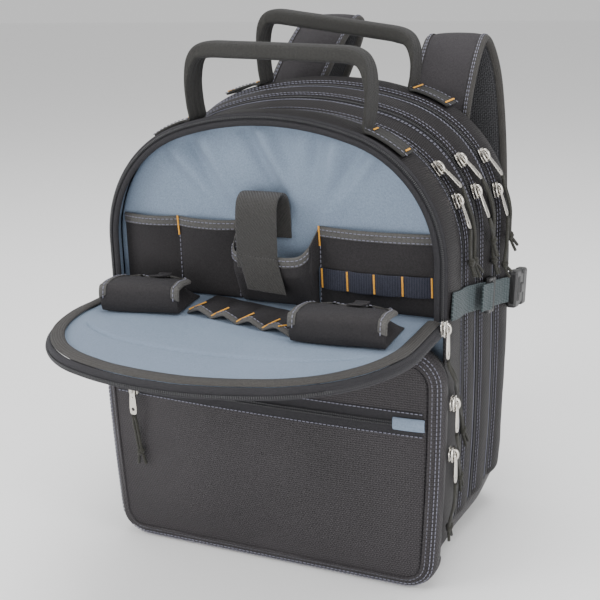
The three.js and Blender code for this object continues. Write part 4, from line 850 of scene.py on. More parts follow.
def puffed(piece, voxel, pressure, cap, pinned, flat):
    """Fills a padded piece: a voxel remesh swells under Cloth pressure with gravity off, no point moves
    further than cap, and the weave is laid on again from the two flat axes."""
    remesh = piece.modifiers.new("remesh", "REMESH")
    remesh.mode, remesh.voxel_size = "VOXEL", voxel
    plain = bpy.data.meshes.new_from_object(piece.evaluated_get(bpy.context.evaluated_depsgraph_get()))
    piece.modifiers.clear()
    piece.data = plain
    start = np.empty(len(plain.vertices) * 3)
    plain.vertices.foreach_get("co", start)
    start = start.reshape(-1, 3)
    held = piece.vertex_groups.new(name="held")
    held.add([i for i, co in enumerate(start) if pinned(co / MM)], 1.0, "REPLACE")
    swell = piece.modifiers.new("swell", "CLOTH")
    swell.settings.quality = 6
    swell.settings.use_pressure = True
    swell.settings.uniform_pressure_force = pressure
    swell.settings.effector_weights.gravity = 0
    swell.settings.vertex_group_mass = "held"
    swell.point_cache.frame_start, swell.point_cache.frame_end = 1, 20
    for step in range(1, 21):
        bpy.context.scene.frame_set(step)
    filled = piece.evaluated_get(bpy.context.evaluated_depsgraph_get()).data
    after = np.empty(len(start) * 3)
    filled.vertices.foreach_get("co", after)
    moved = after.reshape(-1, 3) - start
    far = np.linalg.norm(moved, axis=1)[:, None]
    after = start + moved * np.minimum(1, cap * MM / np.maximum(far, 1e-9))
    piece.modifiers.clear()
    piece.vertex_groups.clear()
    plain.vertices.foreach_set("co", after.ravel())
    layer = plain.uv_layers.new(name="UVMap")
    layer.data.foreach_set("uv", after[[loop.vertex_index for loop in plain.loops]][:, flat].ravel())
    plain.polygons.foreach_set("use_smooth", [True] * len(plain.polygons))
    bpy.context.scene.frame_set(1)


def back_seam(p):
    """Where the back's cover is sewn down: its edge, the middle and the seams round the pads."""
    near = np.min(np.hypot(outline[:, 0] - p[0], outline[:, 1] - p[2]))
    return near < 8 or abs(p[0]) < 5 or p[1] < 97 or (abs(p[2] - 124) < 4 and abs(p[0]) < 136) or 133 < abs(p[0]) < 138


puffed(back_pad, 0.005, 4.0, 7.0, back_seam, [0, 2])
soften(back_pad)
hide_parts("back_panel")
piping = woven("back_piping", (0.010, 0.010, 0.011), (0.090, 0.090, 0.092), 0.0011, 0.0016, twill=1.0,
               relief=0.0004,
               sheen=0.1, cloud=0.1)
for k, (x0, x1, z0, z1) in enumerate(((-131, -9, 131, 372), (9, 131, 131, 372), (-131, 131, 24, 117))):
    corner, path = 22, []
    for cx, cz, a0 in ((x1 - corner, z1 - corner, 0), (x0 + corner, z1 - corner, 90),
                       (x0 + corner, z0 + corner, 180),
                       (x1 - corner, z0 + corner, 270)):
        path += [(cx + corner * math.cos(math.radians(a0 + d)), 102.9,
                  cz + corner * math.sin(math.radians(a0 + d)))
                 for d in range(0, 91, 15)]
    path = np.array(path + path[:1])
    points, faces, uvs = tube(smooth_line(path, 4), 1.7, 8, up=(0, 1, 0))
    new_piece("back_piping_%d" % (k + 1), points, faces, piping, uvs=uvs)

# Lower front pocket.
# A boxed pocket: a strip goes round its face and turns back to the zip beside the bag, topstitched
# twice; the face is cut from ballistic nylon and swells a little.

POCKET_WIDE, POCKET_TOP, POCKET_R, BORDER, FACE_Y = 172, 233, 34, 14, -116


def pocket_loop(inset, count=150, closed=True):
    """The pocket's outline moved inwards, from the left foot over its flat top to the right foot."""
    w, top, r = POCKET_WIDE - inset, POCKET_TOP - inset, POCKET_R - inset
    right = [(w - lean_at(z), z) for z in np.linspace(CORNER_R, top - r, 26)]
    right += [(w - r - lean_at(top - r) + r * math.cos(a), top - r + r * math.sin(a))
              for a in np.linspace(0, math.pi / 2, 9)[1:]]
    flat = [(x, top) for x in np.linspace(right[-1][0], -right[-1][0], 22)[1:-1]]
    path = right + flat + [(-x, z) for x, z in reversed(right)]
    if closed:
        path += [base_point(POCKET_WIDE, CORNER_R, t, -inset) for t in np.linspace(-1, 1, 40)[1:-1]]
    return np.array(path)


def face_y(x, z):
    side = min(1, abs(x) / 158)
    high = min(1, abs(z - 116.5) / 102.5)
    sag = 0.9 * noise.noise(Vector((x / 45, z / 32, 3.1))) + 0.35 * noise.noise(Vector((x / 17, z / 15, 8.4)))
    fold = 1.6 * math.exp(-((z - 24 - 0.05 * x) / 5) ** 2) * math.exp(-((x - 10) / 90) ** 2)
    pinch = 1.2 * math.exp(-(((x - 118) + 0.5 * (z - 205)) / 6) ** 2 - ((z - 205) / 16) ** 2)
    return FACE_Y - 6 * (1 - side ** 2) * (1 - high ** 2) - (sag - fold - pinch) * (1 - max(side, high) ** 4)


border = []
for inset, y in ((0, -101.8), (0.2, -107), (1.2, -110.5), (4.2, -113.6), (8, -115.3), (11, -116.1),
                 (14, -116.2)):
    border.append([(x, y, z) for x, z in pocket_loop(inset)])
border = np.array(border)
for k, depth in ((1, 0.25), (2, 0.4), (3, 0.5), (4, 0.5)):
    for j in range(border.shape[1]):
        border[k, j, 1] -= depth * noise.noise(Vector(border[k, j] / 24))
cloth("pocket_border_cloth", border, (0, -150, 116), -FABRIC, ballistic, "pocket_border",
      joined=True)
for inset, y in ((3.4, -113.3), (6.2, -114.9), (10.6, -116.25), (13.2, -116.35)):
    ring = np.array([(x, y, z) for x, z in pocket_loop(inset)])
    stitch(np.vstack([ring, ring[:1]]), (0, -1, 0), 0.2)
rings = []
edge = pocket_loop(13.2)
for share in (0.002, 0.006, 0.1, 0.2, 0.3, 0.4, 0.5, 0.6, 0.7, 0.8, 0.86, 0.91, 0.95, 0.98, 0.995):
    ring = []
    for x, z in edge:
        wide = 1 + 0.055 * min(1, max(0, -x / 60))
        low = 0.055 * min(1, max(0, (80 - z) / 60))
        x, z = x * share * wide, 116.5 + (z - 116.5) * share * (1 + low)
        turned = max(0, abs(x) - 158 if x < 0 else 0) ** 1.6 * 0.075 + max(0, 14 - z) ** 1.6 * 0.06
        ring.append((x, min(face_y(x, z), FACE_Y) - 0.9 + 0.7 * (share > 0.99) + turned, z))
    rings.append(ring)
cloth("pocket_face_cloth", np.array(rings), (0, -1, 0), FABRIC, ballistic, "pocket_face",
      joined=True,
      flat=[0, 2])
side_path = pocket_loop(0, closed=False)
tape = []
bag_path = pocket_loop(7, closed=False)
for share in (0, 0.3, 0.5, 0.7, 1):
    tape.append([(x, -92.4 - 9.1 * share, z) for x, z in bag_path * (1 - share) + side_path * share])
tape = np.array(tape)
cloth("pocket_zip_tape", tape, (0, -97, 110), -1.6, zip_tape, "pocket_zip")
middle_line = tape[2]
side_way = off_surface(tape, (0, -97, 110))[2] * -1
repeated("pocket_zip_coils",
         [(middle_line + side_way * 0.5 + np.array((0, dy, 0)), side_way) for dy in (-1.2, 1.2)],
         coil_tree, 0.0017, 0.0011, 0.0022, 0.0016)

# Slot zip across the pocket.
# Two strips of tape with the coil between them, stitched above and below, with a folded end tab of
# lining cloth at both ends.

lining = woven("lining_cloth", (0.085, 0.115, 0.160), (0.205, 0.258, 0.335), 0.00055, 0.00055, relief=0.00015,
               sheen=0.1, sheen_colour=(0.6, 0.65, 0.75), cloud=0.22)
SLOT_HALF = 154


def slot_z(x, off=0):
    return 166.1 - 1.6 * x / SLOT_HALF + off


def slot_point(u, v):
    """A point of the tape, u across and v along it; it dips a little below the coil."""
    x = v * SLOT_HALF
    y = face_y(x, slot_z(0, 12 * u)) - 1.6 - 1.1 * math.exp(-(u * 4) ** 2)
    return x, y, slot_z(x, 12 * u)


slot_tape = grid_of(slot_point, np.linspace(-1, 1, 13), np.linspace(-1, 1, 50))
cloth("slot_zip_tape", slot_tape, (0, -1, 0), 1.3, zip_tape, "slot_zip")
xs = np.linspace(-134, 126, 200)
repeated("slot_zip_coils",
         [([(x, face_y(x, 165) - 3.3, slot_z(x, dz)) for x in xs], [(0, -1, 0)] * 200) for dz in (-1.2, 1.2)],
         coil_tree, 0.0017, 0.0011, 0.0022, 0.0016)
for dz in (-10.6, 10.6):
    xs = np.linspace(-SLOT_HALF + 2, SLOT_HALF - 2, 90)
    stitch([(x, face_y(x, 165 + dz) - 1.8, slot_z(x, dz)) for x in xs], (0, -1, 0), 0.15)
for k, (x0, x1) in enumerate(((-156, -134), (127, 156))):
    tab = grid_of(lambda u, v: (x0 + (x1 - x0) * v, face_y(x0 + (x1 - x0) * v, 165) - 4.1
                                + 1.6 * abs(u) ** 3 - 0.5 * math.sin(math.pi * v), slot_z(x0, 6.2 * u)),
                  np.linspace(-1, 1, 9), np.linspace(0, 1, 14))
    cloth("slot_tab_%d" % (k + 1), tab, (0, -1, 0), 1.0, lining)

# Inside of the open front.
# The tool wall is a sheet of grey-blue lining that hangs in soft folds from the arch; the same cloth
# lines the front band.

outline = bag_outline(-78, 2.6, 200)
middle = np.array((0, 290))
rings = []
for share in np.concatenate([[0.002, 0.006], np.linspace(0.03, 0.94, 44), [0.96, 0.98, 1]]):
    row = []
    for x, z in middle + (outline - middle) * share:
        fold = 0
        for foot_x, slope, wide, deep in ((-76, -0.55, 9, 4.2), (-12, -0.5, 8, 4.6), (54, 0.2, 9, 3.8),
                                          (98, 0.7, 8, 2.4),
                                          (-118, -0.9, 8, 2.2), (22, -0.1, 12, 2.0)):
            off = (x - foot_x - slope * (z - 400)) / wide
            fold += 1.9 * deep * (math.exp(-(off - 0.8) ** 2) - 0.8 * math.exp(-(off + 0.8) ** 2)) * min(1, max(0, (z - 322) / 62)) ** 1.3
        soft = 1.6 * noise.noise(Vector((x / 50, z / 45, 1))) + 0.6 * noise.noise(Vector((x / 20, z / 26, 3)))
        row.append((x, -79.6 - (fold + soft) * min(1, (1 - share) * 12), z))
    rings.append(row)
cloth("tool_wall_cloth", np.array(rings), (0, -1, 0), 1.6, lining, "tool_wall", joined=True,
      flat=[0, 2])
inside = grid_of(lambda u, v: arch_point(*section_at(-92)[:2], 252, v, -2.3 - 0.5 * math.sin(math.pi * u))[0]
                 + np.array((0, -91.6 + 12.6 * u, 0)), np.linspace(0, 1, 7), np.linspace(-0.99, 0.99, 100))
cloth("front_band_lining", inside, (0, -85, 300), 0.4, lining)

# Zip round the open rim.
# Half of a coil zip on its tape, and beside it a strip of ribbed binding.

binding = woven("edge_binding", (0.020, 0.019, 0.018), (0.100, 0.097, 0.092), 0.0011, 0.0011, twill=1.0,
                relief=0.0005, sheen=0.1, cloud=0.2)
w0, h0, _ = section_at(RIM_Y)


def rim_row(out, y, count=140):
    return np.array([arch_point(w0, h0, 252.6, t, out)[0] + np.array((0, y, 0))
                     for t in np.linspace(-1, 1, count)])


rim = np.array([rim_row(1, -93), rim_row(1.1, -94.3), rim_row(-1, -95), rim_row(-4, -95.3),
                rim_row(-9, -94.6)])
cloth("rim_zip_tape", rim, (0, -400, 300), 2.2, zip_tape, "rim_zip")
ways = np.tile((0, -1, 0), (140, 1))
repeated("rim_zip_coil", [(rim_row(-1.6, -95.6), ways)], coil_tree, 0.0017, 0.0011, 0.0026, 0.0018)
rolled = np.array([rim_row(-3.6, -95.4), rim_row(-4.2, -96.4), rim_row(-6, -96.8), rim_row(-8.2, -96.4),
                   rim_row(-9.4, -95)])
cloth("rim_binding", rolled, (0, -400, 300), 0.9, zip_tape)

# Pockets on the tool wall.
# Black cloth sheets stand off the wall between their seams. Their top edges are bound and stitched
# twice, and each seam ends in an orange bartack.

black_cloth = woven("black_cloth", (0.003, 0.0028, 0.003), (0.035, 0.0325, 0.034), 0.0007, relief=0.0003,
                    sheen=0.06,
                    cloud=0.25)
POCKET_FOOT, WALL_TOP = 250.4, 325


def tack(start, end, off):
    """One orange bartack between two points."""
    line = np.linspace(start, end, max(3, int(np.linalg.norm(np.array(end) - start) / 3) + 1))
    tack_lines.append((line + np.array(off, float) * 0.45, np.broadcast_to(np.array(off, float), line.shape)))


def wall_pocket_y(x, z, seams):
    k = min(max(int(np.searchsorted(seams, x)) - 1, 0), len(seams) - 2)
    u = (x - seams[k]) / (seams[k + 1] - seams[k])
    v = min(max((z - POCKET_FOOT) / (WALL_TOP - POCKET_FOOT), 0), 1)
    sag = 1.1 * noise.noise(Vector((x / 26, z / 30, 6))) * math.sin(math.pi * u)
    return -80.6 - (8 * math.sin(math.pi * u) ** 0.8 + sag) * v ** 0.5


for name, seams in (("wall_pocket_left", (-156, -96, -33)), ("wall_pocket_right", (45, 156))):
    xs = np.linspace(seams[0], seams[-1], 64)
    sheet = grid_of(lambda z, x: (x, wall_pocket_y(x, z, seams), z),
                    np.linspace(POCKET_FOOT, WALL_TOP - 0.6, 18), xs)
    cloth(name + "_cloth", sheet, (0, -1, 0), 1.4, black_cloth, name)
    edge = []
    for dz, lift in ((-9.5, 0.1), (-9, 0.9), (-4, 1.1), (-0.4, 0.8), (0.6, -0.6)):
        z = WALL_TOP + dz
        edge.append([(x, wall_pocket_y(x, z, seams) - lift, z) for x in xs])
    cloth(name + "_binding", np.array(edge), (0, -1, 0), 0.6, binding)
    for z in (WALL_TOP - 7.8, WALL_TOP - 2.6):
        stitch([(x, wall_pocket_y(x, z, seams) - 1.15, z) for x in xs[1:-1]], (0, -1, 0), 0.15)
for x, low, seams in ((-96, 308, (-156, -96, -33)), (-34.6, 312, (-156, -96, -33)), (46.6, 308, (45, 156))):
    tack((x, -82.5, low), (x - 0.8, -82.7, WALL_TOP + 0.5), (0, -1, 0))
    stitch([(x, -81.2, z) for z in np.linspace(254, low - 2, 24)], (0, -1, 0), 0.3)

# Phone pouch and its strap.
# A deeper pouch with bellows sides between the wall pockets; its top edge dips towards the front. A
# strap of hook-and-loop cloth goes from the wall over the pouch and closes on its front.

PLAN = np.array([(-1, 0), (-0.965, 0.42), (-0.93, 0.72), (-0.8, 0.93), (-0.5, 1), (0, 1.02), (0.5, 1),
                 (0.8, 0.93), (0.93, 0.72),
                 (0.965, 0.42), (1, 0)])
plan = smooth_line(np.c_[PLAN * (39, 30), np.zeros(len(PLAN))], 2.0)


def pouch_point(v, j):
    side, deep = plan[j, 0], plan[j, 1] / 30
    top = 323 - 22 * min(deep, 1)
    sag = 0.8 * noise.noise(Vector((side / 18, v * 3, 2)))
    depth = 30 * deep * min(1, 0.12 + 1.2 * v ** 0.7) + sag * deep
    return 6 + side * 0.99, -80.4 - depth, POCKET_FOOT + (top - POCKET_FOOT) * v


cols = range(len(plan))
pouch = grid_of(pouch_point, np.linspace(0, 1, 18), cols)
cloth("phone_pouch_cloth", pouch, (6, -400, 285), 1.5, black_cloth, "phone_pouch")
rim_ways = off_surface(pouch, (6, -400, 285))
rolled = [pouch[-1] + (0, 0, dz) + rim_ways[-1] * lift for dz,
          lift in ((-9, 0.1), (-8.4, 0.8), (-4, 1.0), (-0.2, 0.8), (0.9, -0.7))]
cloth("phone_pouch_binding", np.array(rolled), (6, -400, 285), 0.6, binding)
for dz in (-7, -2.2):
    stitch(pouch[-1] + (0, 0, dz) + rim_ways[-1] * 0.95, rim_ways[-1], 0.2)

felt = woven("hook_and_loop", (0.006, 0.006, 0.0055), (0.056, 0.054, 0.051), 0.0014, 0.0011, twill=0.4,
             relief=0.0011,
             rough=(0.8, 0.95), sheen=0.25, cloud=0.3)


def strap(name, line, across, width, thick, material, node=None, crown=0.0, level=1, hint=None):
    """A flat strap along a line; width and thickness may change along it."""
    line = np.array(line, float)
    across = np.broadcast_to(np.array(across, float), line.shape)
    across = across / np.linalg.norm(across, axis=1)[:, None]
    tangent = np.gradient(line, axis=0)
    up = np.cross(across, tangent)
    up /= np.maximum(np.linalg.norm(up, axis=1), 1e-9)[:, None]
    width, thick = (np.broadcast_to(value, (len(line),))[:, None] for value in (width, thick))
    shape = [(-1, 0.35), (-0.97, 0.8), (-0.85, 1), (-0.4, 1 + crown), (0, 1 + crown * 1.2), (0.4, 1 + crown),
             (0.85, 1),
             (0.97, 0.8), (1, 0.35)]
    outer = [line + across * width / 2 * a + up * thick / 2 * b for a, b in shape]
    inner = [line + across * width / 2 * a - up * thick / 2 * b for a, b in shape]
    piece = closed_shell(name, np.array(outer), np.array(inner), material)
    if level:
        soften(piece, level)
    if node:
        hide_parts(node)
    return piece


over = smooth_line([(-1, -81.5, 312), (-1, -82.7, 336), (-1, -87, 350), (-1, -94, 355), (-1, -103, 355),
                    (-1, -110, 349),
                    (-1, -112.6, 336), (-1, -112.8, 318), (-1, -112.6, 300), (-1, -112.3, 290)], 2.5)
strap("phone_strap_loop", over, (1, 0, 0), 40, 2.4, felt, "phone_strap", crown=0.2)
patch = smooth_line([(0, -114.0, 302), (2.5, -114.2, 292), (5.5, -114.2, 281), (8, -113.6, 269.5)], 2.5)
strap("phone_strap_patch", patch, (1, 0, -0.06), 38, 1.8, felt, crown=0.25)

# Elastic tool loops on the right pocket.
# Navy elastic lies across the pocket and is tacked down in orange at five places.

elastic = woven("navy_elastic", (0.004, 0.005, 0.009), (0.036, 0.038, 0.054), 0.0009, 0.0022, relief=0.0005,
                sheen=0.08,
                cloud=0.15)
xs = np.linspace(46, 155.6, 73)
tacks = np.linspace(49, 151, 5)
line = []
for x in xs:
    gap = np.min(np.abs(tacks - x)) / 12.75
    line.append((x, wall_pocket_y(x, 289, (45, 156)) - 1.2 - 2.4 * math.sin(math.pi / 2 * min(gap, 1)) ** 0.8, 278.5))
strap("loop_webbing_elastic", line, (0, 0, 1), 19, 1.2, elastic, "loop_webbing")
for x in tacks:
    y = wall_pocket_y(x, 289, (45, 156)) - 1.9
    tack((x, y, 270), (x - 0.6, y, 287), (0, -1, 0))

# Tray.
# The front cover lies open as a tray: nylon below, padded grey-blue lining above, and round its
# edge a binding, then the other half of the zip with its coil along the lower outer edge.

HINGE_Z, TRAY_TOP, TRAY_BACK = 237, 250, -95.6


def tray_edge(out, count=150, low=0.0):
    """The laid-down arch; t from the left hinge to the right one."""
    path = [arch_point(160, 418, HINGE_Z, t, out)[0] for t in np.linspace(-1 + low, 1 - low, count)]
    return np.array([(p[0], TRAY_BACK - (p[2] - HINGE_Z) * 1.085, 0) for p in path])


def tray_sheet(out, z, extra=()):
    edge = tray_edge(out)
    rows = []
    for share in np.concatenate([[0], np.linspace(0.06, 0.63, 13),
                                 [0.655, 0.67, 0.68, 0.69, 0.7, 0.71, 0.725],
                                np.linspace(0.75, 0.92, 5), [0.95, 0.975, 1]]):
        row = edge.copy()
        row[:, 1] = TRAY_BACK + (edge[:, 1] - TRAY_BACK) * share
        row[:, 2] = [z(x, y, share) for x, y in row[:, :2]]
        rows.append(row)
    return np.array(list(extra) + rows)


def lining_z(x, y, share):
    edge_gap = min(1, (1 - share) * 8)
    soft = 0.9 * noise.noise(Vector((x / 55, y / 55, 2))) + 0.35 * noise.noise(Vector((x / 19, y / 19, 5)))
    back = 2.6 * math.exp(-((share - 0.69) / 0.013) ** 2) * (abs(x) < 130) + 1.2 * max(0, share - 0.7)
    seam = math.exp(-((x + 128) / 2.2) ** 2) * (1 if y > -150 else 0)
    return TRAY_TOP - 0.5 + edge_gap * (0.9 + soft) - 0.7 * back - 0.5 * seam


back_edge = tray_edge(-5)
behind = []
for y in (-78.4, -84, -90):
    behind.append([(x, y, TRAY_TOP - 0.2 + 0.5 * noise.noise(Vector((x / 30, y / 20, 2))))
                   for x in back_edge[:, 0]])
tray_pad = cloth("tray_lining_pad", tray_sheet(-5, lining_z, behind), (0, 0, 1), 3.6, lining, "tray_lining")
under = tray_sheet(-5, lambda x, y, s: 243.7)
turned = [[(x, -92.4, z) for x in back_edge[:, 0]]
          for z in (230, 236, 241)] + [[(x, -93.6, 243.2) for x in back_edge[:, 0]]]
cloth("tray_panel_cloth", np.vstack([np.array(turned), under]), (0, -150, -400), 1.8, ballistic,
      "tray_panel")
profile = ((-10, 252.2), (-9, 253.2), (-5.5, 254.0), (-1.5, 253.8), (0.4, 252.3), (1.2, 250.6), (2.6, 250.4),
           (4.2, 249.4),
           (5.2, 246.6), (5.4, 243.6), (4.6, 242.2))
rows = []
for out, z in profile:
    row = tray_edge(out)
    row[:, 2] = [z + 0.5 * noise.noise(Vector((x / 30, y / 30, 9))) for x, y in row[:, :2]]
    rows.append(row)
rim_binding = woven("tray_binding", (0.010, 0.009, 0.009), (0.064, 0.061, 0.057), 0.0011, 0.0011, twill=1.0,
                    relief=0.0005,
                    sheen=0.1, cloud=0.2)
cloth("tray_rim_binding", np.array(rows[:6]), (0, -180, 400), 1.4, rim_binding, "tray_rim")
cloth("tray_rim_tape", np.array(rows[5:]), (0, -180, 900), 1.4, zip_tape)
row = tray_edge(5.9, 300)
row[:, 2] = 244.4
beyond = tray_edge(8, 300) - tray_edge(5.9, 300)
repeated("tray_zip_coil", [(row, beyond)], coil_tree, 0.0017, 0.0011, 0.0026, 0.0016)

# Flap pouches on the tray.
# Two small pouches: the flap is hinged at the mouth, folds back over the top and is bound round its
# tip, with a short black pull tab.

for side, spot_x, spot_y, turn, wide in (("left", -100, -152, 9, 74), ("right", 100, -176, 3, 82)):
    c, s = math.cos(math.radians(turn)), math.sin(math.radians(turn))

    def on_tray(across, back, up):
        return spot_x + across * c - back * s, spot_y + across * s + back * c, 250.4 + up

    def pouch_up(u, v):
        return 2 + 22 * min(1, math.sin(math.pi * u) * 1.9) * (1 - v) ** 0.45

    sheet = grid_of(lambda v, u: on_tray((u - 0.5) * wide,
                                         v * 57 + 1.2 * math.sin(math.pi * v) * math.sin(9 * u),
                                         pouch_up(u, v) + 0.5 * noise.noise(Vector((u * 5, v * 4, wide)))),
                    np.linspace(0, 0.995, 16),
                    np.concatenate([np.linspace(0, 0.2, 8), np.linspace(0.24, 0.76, 14),
                                                              np.linspace(0.8, 1, 8)]))
    cloth("tray_pouch_%s_cloth" % side, sheet, (0, 0, 1), 1.6, black_cloth, "tray_pouch_" + side)
    rows_along = smooth_line([(0, -1.6, 1.4), (0, -4, 7), (0, -4.4, 14), (0, -2.8, 23), (0, 3, 27.4),
                              (0, 14, 28.2),
                              (0, 26, 26.2), (0, 34, 24.4), (0, 42, 21.6)], 2.2)
    length = run_along(rows_along)
    left = length[-1] - length
    cut = np.where(left < 16, 16 - np.sqrt(np.maximum(0, 16 ** 2 - (16 - left) ** 2)), 0)
    half = wide / 2 + 0.3 - cut
    flap = np.array([[on_tray(h * u, back + 0.6 * u * u,
                              up - 2.2 * u ** 4 * (back > 0) + 0.5 * math.sin(3 * u + back / 9))
                      for u in np.linspace(-1, 1, 28)] for (_, back, up), h in zip(rows_along, half)])
    flap_cloth = cloth("tray_flap_%s_cloth" % side, flap, (spot_x, spot_y - 400, 600), 1.6, black_cloth,
                       "tray_flap_" + side)
    ways = off_surface(flap, (spot_x, spot_y - 400, 600))
    path = np.vstack([flap[6:, 0], flap[-1, 1:-1], flap[6:, -1][::-1]])
    way = np.vstack([ways[6:, 0], ways[-1, 1:-1], ways[6:, -1][::-1]])
    centre = flap[len(flap) // 2 + 3, 14]
    inward = centre - path
    inward -= (inward * way).sum(1)[:, None] * way
    inward /= np.linalg.norm(inward, axis=1)[:, None]
    bound = [path + inward * a + way * b for a,
             b in ((7, 0.3), (6.4, 1.0), (3, 1.3), (-0.4, 0.9), (-1.0, -0.6), (-0.4, -2.0))]
    edge_binding = cloth("tray_flap_%s_binding" % side, np.array(bound), (spot_x, spot_y, 700), 0.6, binding)
    stitch(path + inward * 4.2 + way * 1.25, way, 0.15)
    tab_line = [on_tray(6, back, up) for back,
                up in ((24, 28.4), (31, 26.8), (38, 24.9), (45, 23.6), (50, 24.4))]
    tab = strap("tray_flap_%s_tab" % side, smooth_line(tab_line, 2), (c, s, 0), 13, 1.6, black_cloth)

# Tool loops on the tray.
# One sheet rises into four arches along its bound front edge and is tacked down between them.

left_end, right_end, reach = np.array((-60.0, -138.0)), np.array((54.0, -168.0)), 56
us = np.linspace(0, 1, 65)


def loop_point(v, u):
    at = left_end + (right_end - left_end) * u
    rise = 5.5 * abs(math.sin(math.pi * u * 4)) ** 0.8 * (1 - v) ** 0.7
    return at[0] + 2 * math.sin(8 * math.pi * u) * (1 - v), at[1] + v * reach, 252.2 + rise + 0.4 * noise.noise(Vector((u * 9, v * 4, 1)))


sheet = grid_of(loop_point, np.linspace(0, 1, 14), us)
cloth("tray_loops_cloth", sheet, (0, -150, 900), 1.4, black_cloth, "tray_loops")
front = sheet[0]
bound = [front + np.array(d)
         for d in ((0, 6.5, 0.2), (0, 6, 0.9), (0, 2.5, 1.1), (0, -0.6, 0.6), (0, -1.1, -0.8), (0, 0, -2.0))]
cloth("tray_loops_binding", np.array(bound), (0, -150, 900), 0.6, binding)
stitch(front[1:-1] + (0, 4.4, 1.1), (0, 0, 1), 0.15)
for u in np.linspace(0, 1, 5):
    across = np.linspace(min(max(u, 0.015), 0.92), min(max(u, 0.015), 0.92) + 0.06, 7)
    line = np.array([loop_point(v, w) for v, w in zip(np.linspace(0, 0.34, 7), across)]) + (0, 0, 1.3)
    tack_lines.append((line, np.tile((0.0, 0.0, 1.0), (7, 1))))

# Carry handles.
# Ribbed webbing, sewn down flat along the arch at both ends and folded into a round grip between.

handle_web = woven("handle_webbing", (0.003, 0.003, 0.003), (0.044, 0.043, 0.040), 0.0016, 0.0012, twill=1.0,
                   relief=0.0007, sheen=0.1, cloud=0.2)
HANDLE_WEB, HANDLE_SEWN = 31, 42  # width, and length sewn down at each end
SHAPE = ((1.02, 0.22, 0), (1.03, 0.55, 0.1), (0.98, 0.86, 0.55), (0.84, 0.985, 1), (0.45, 1.0, 1))


def box_section(line, across, width, thick, square, name, material):
    """A webbing tube whose section goes from flat to a folded grip; square is 0 to 1 along it."""
    tangent = np.gradient(line, axis=0)
    tangent /= np.linalg.norm(tangent, axis=1)[:, None]
    up = np.cross(np.broadcast_to(across, line.shape), tangent)
    up /= np.linalg.norm(up, axis=1)[:, None]
    angles = np.linspace(0, 2 * math.pi, 28, endpoint=False)
    rows = []
    for i, p in enumerate(line):
        power = 0.28 + 0.25 * square[i]
        row = []
        for a in angles:
            x = math.copysign(abs(math.cos(a)) ** power, math.cos(a)) * width[i] / 2
            z = math.copysign(abs(math.sin(a)) ** power, math.sin(a)) * thick[i] / 2
            groove = 1.1 * square[i] * math.exp(-((x - 1) / 1.2) ** 2) if math.sin(a) < 0 else 0
            row.append(p + np.array(across) * x + up[i] * (z + groove))
        rows.append(row)
    rows = np.array(rows)
    points = list(rows.reshape(-1, 3))
    n = len(angles)
    faces = [(i * n + j, i * n + (j + 1) % n, (i + 1) * n + (j + 1) % n, (i + 1) * n + j)
             for i in range(len(line) - 1) for j in range(n)]
    faces += [tuple(reversed(range(n))), tuple((len(line) - 1) * n + j for j in range(n))]
    run = run_along(line)
    uvs = [(math.cos(a) * width[i] / 2, run[i]) for i in range(len(line)) for a in angles]
    piece = new_piece(name, points, faces, material, uvs=uvs)
    soften(piece)
    return piece


for name, y, rise, leg, shift, slope in (("handle_front", -72, 61, 83, 7, 0.03),
                                         ("handle_rear", 68, 57, 78, 6, 0.14)):
    w, h, _ = section_at(y)
    spring, inset = h - (SHOULDER_R + CROWN_RISE), w - SHOULDER_R
    bulge = 4 if y < 0 else 7
    r = SHOULDER_R + bulge + 0.3 + 1.2
    halves, ends = [], []
    for sign in (1, -1):
        top = math.acos((leg + sign * shift - inset) / r)
        sewn = [(sign * (inset + r * math.cos(top - HANDLE_SEWN / r * (1 - t))),
                 spring + r * math.sin(top - HANDLE_SEWN / r * (1 - t)), 0)
                for t in np.linspace(0, 1, 6)]
        foot = sewn[-1][1]
        level = spring + r * math.sin(math.acos((leg - inset) / r))
        free = [(sign * leg * out + shift,
                 foot + (level - foot) * min(1, up) + rise * up - slope * sign * leg * out * up,
                 fold) for out, up, fold in SHAPE]
        halves.append(sewn + free)
        ends.append((sewn, sign))
    path = np.array(halves[0] + halves[1][::-1])
    fine = smooth_line(path, 2.4)
    line = np.c_[fine[:, 0], np.full(len(fine), y), fine[:, 1]]
    fold = np.clip(fine[:, 2], 0, 1)
    grip = box_section(line, (0, 1, 0), HANDLE_WEB - 9 * fold, 2.4 + 12.5 * fold, fold, name + "_web",
                       handle_web)
    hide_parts(name)
    for sewn, sign in ends:
        patch = np.array([(x, y, z) for x, z, _ in sewn])
        centre = np.array((sign * inset, y, spring))
        way = patch - centre
        way /= np.linalg.norm(way, axis=1)[:, None]
        for dy in (-12, 12):
            stitch(patch + way * 1.6 + (0, dy, 0), way, 0.2)
        for share in ((0.1, 0.9) if name == "handle_rear" else (0.08, 0.86)):
            k = share * (len(patch) - 1)
            at = np.array([np.interp(k, np.arange(len(patch)), patch[:, c]) for c in range(3)])
            off = way[int(round(k))]
            wide = 13.5 if name == "handle_rear" else 5
            tack(at + off * 1.5 + (0, -wide, 0), at + off * 1.5 + (0, wide, 0), off)

# Shoulder straps.
# Padded straps: nylon on the outer side, air mesh on the inner side, bound edges with a stitch row.
# They rise from the back panel, turn over and come down to webbing at the lower corners.

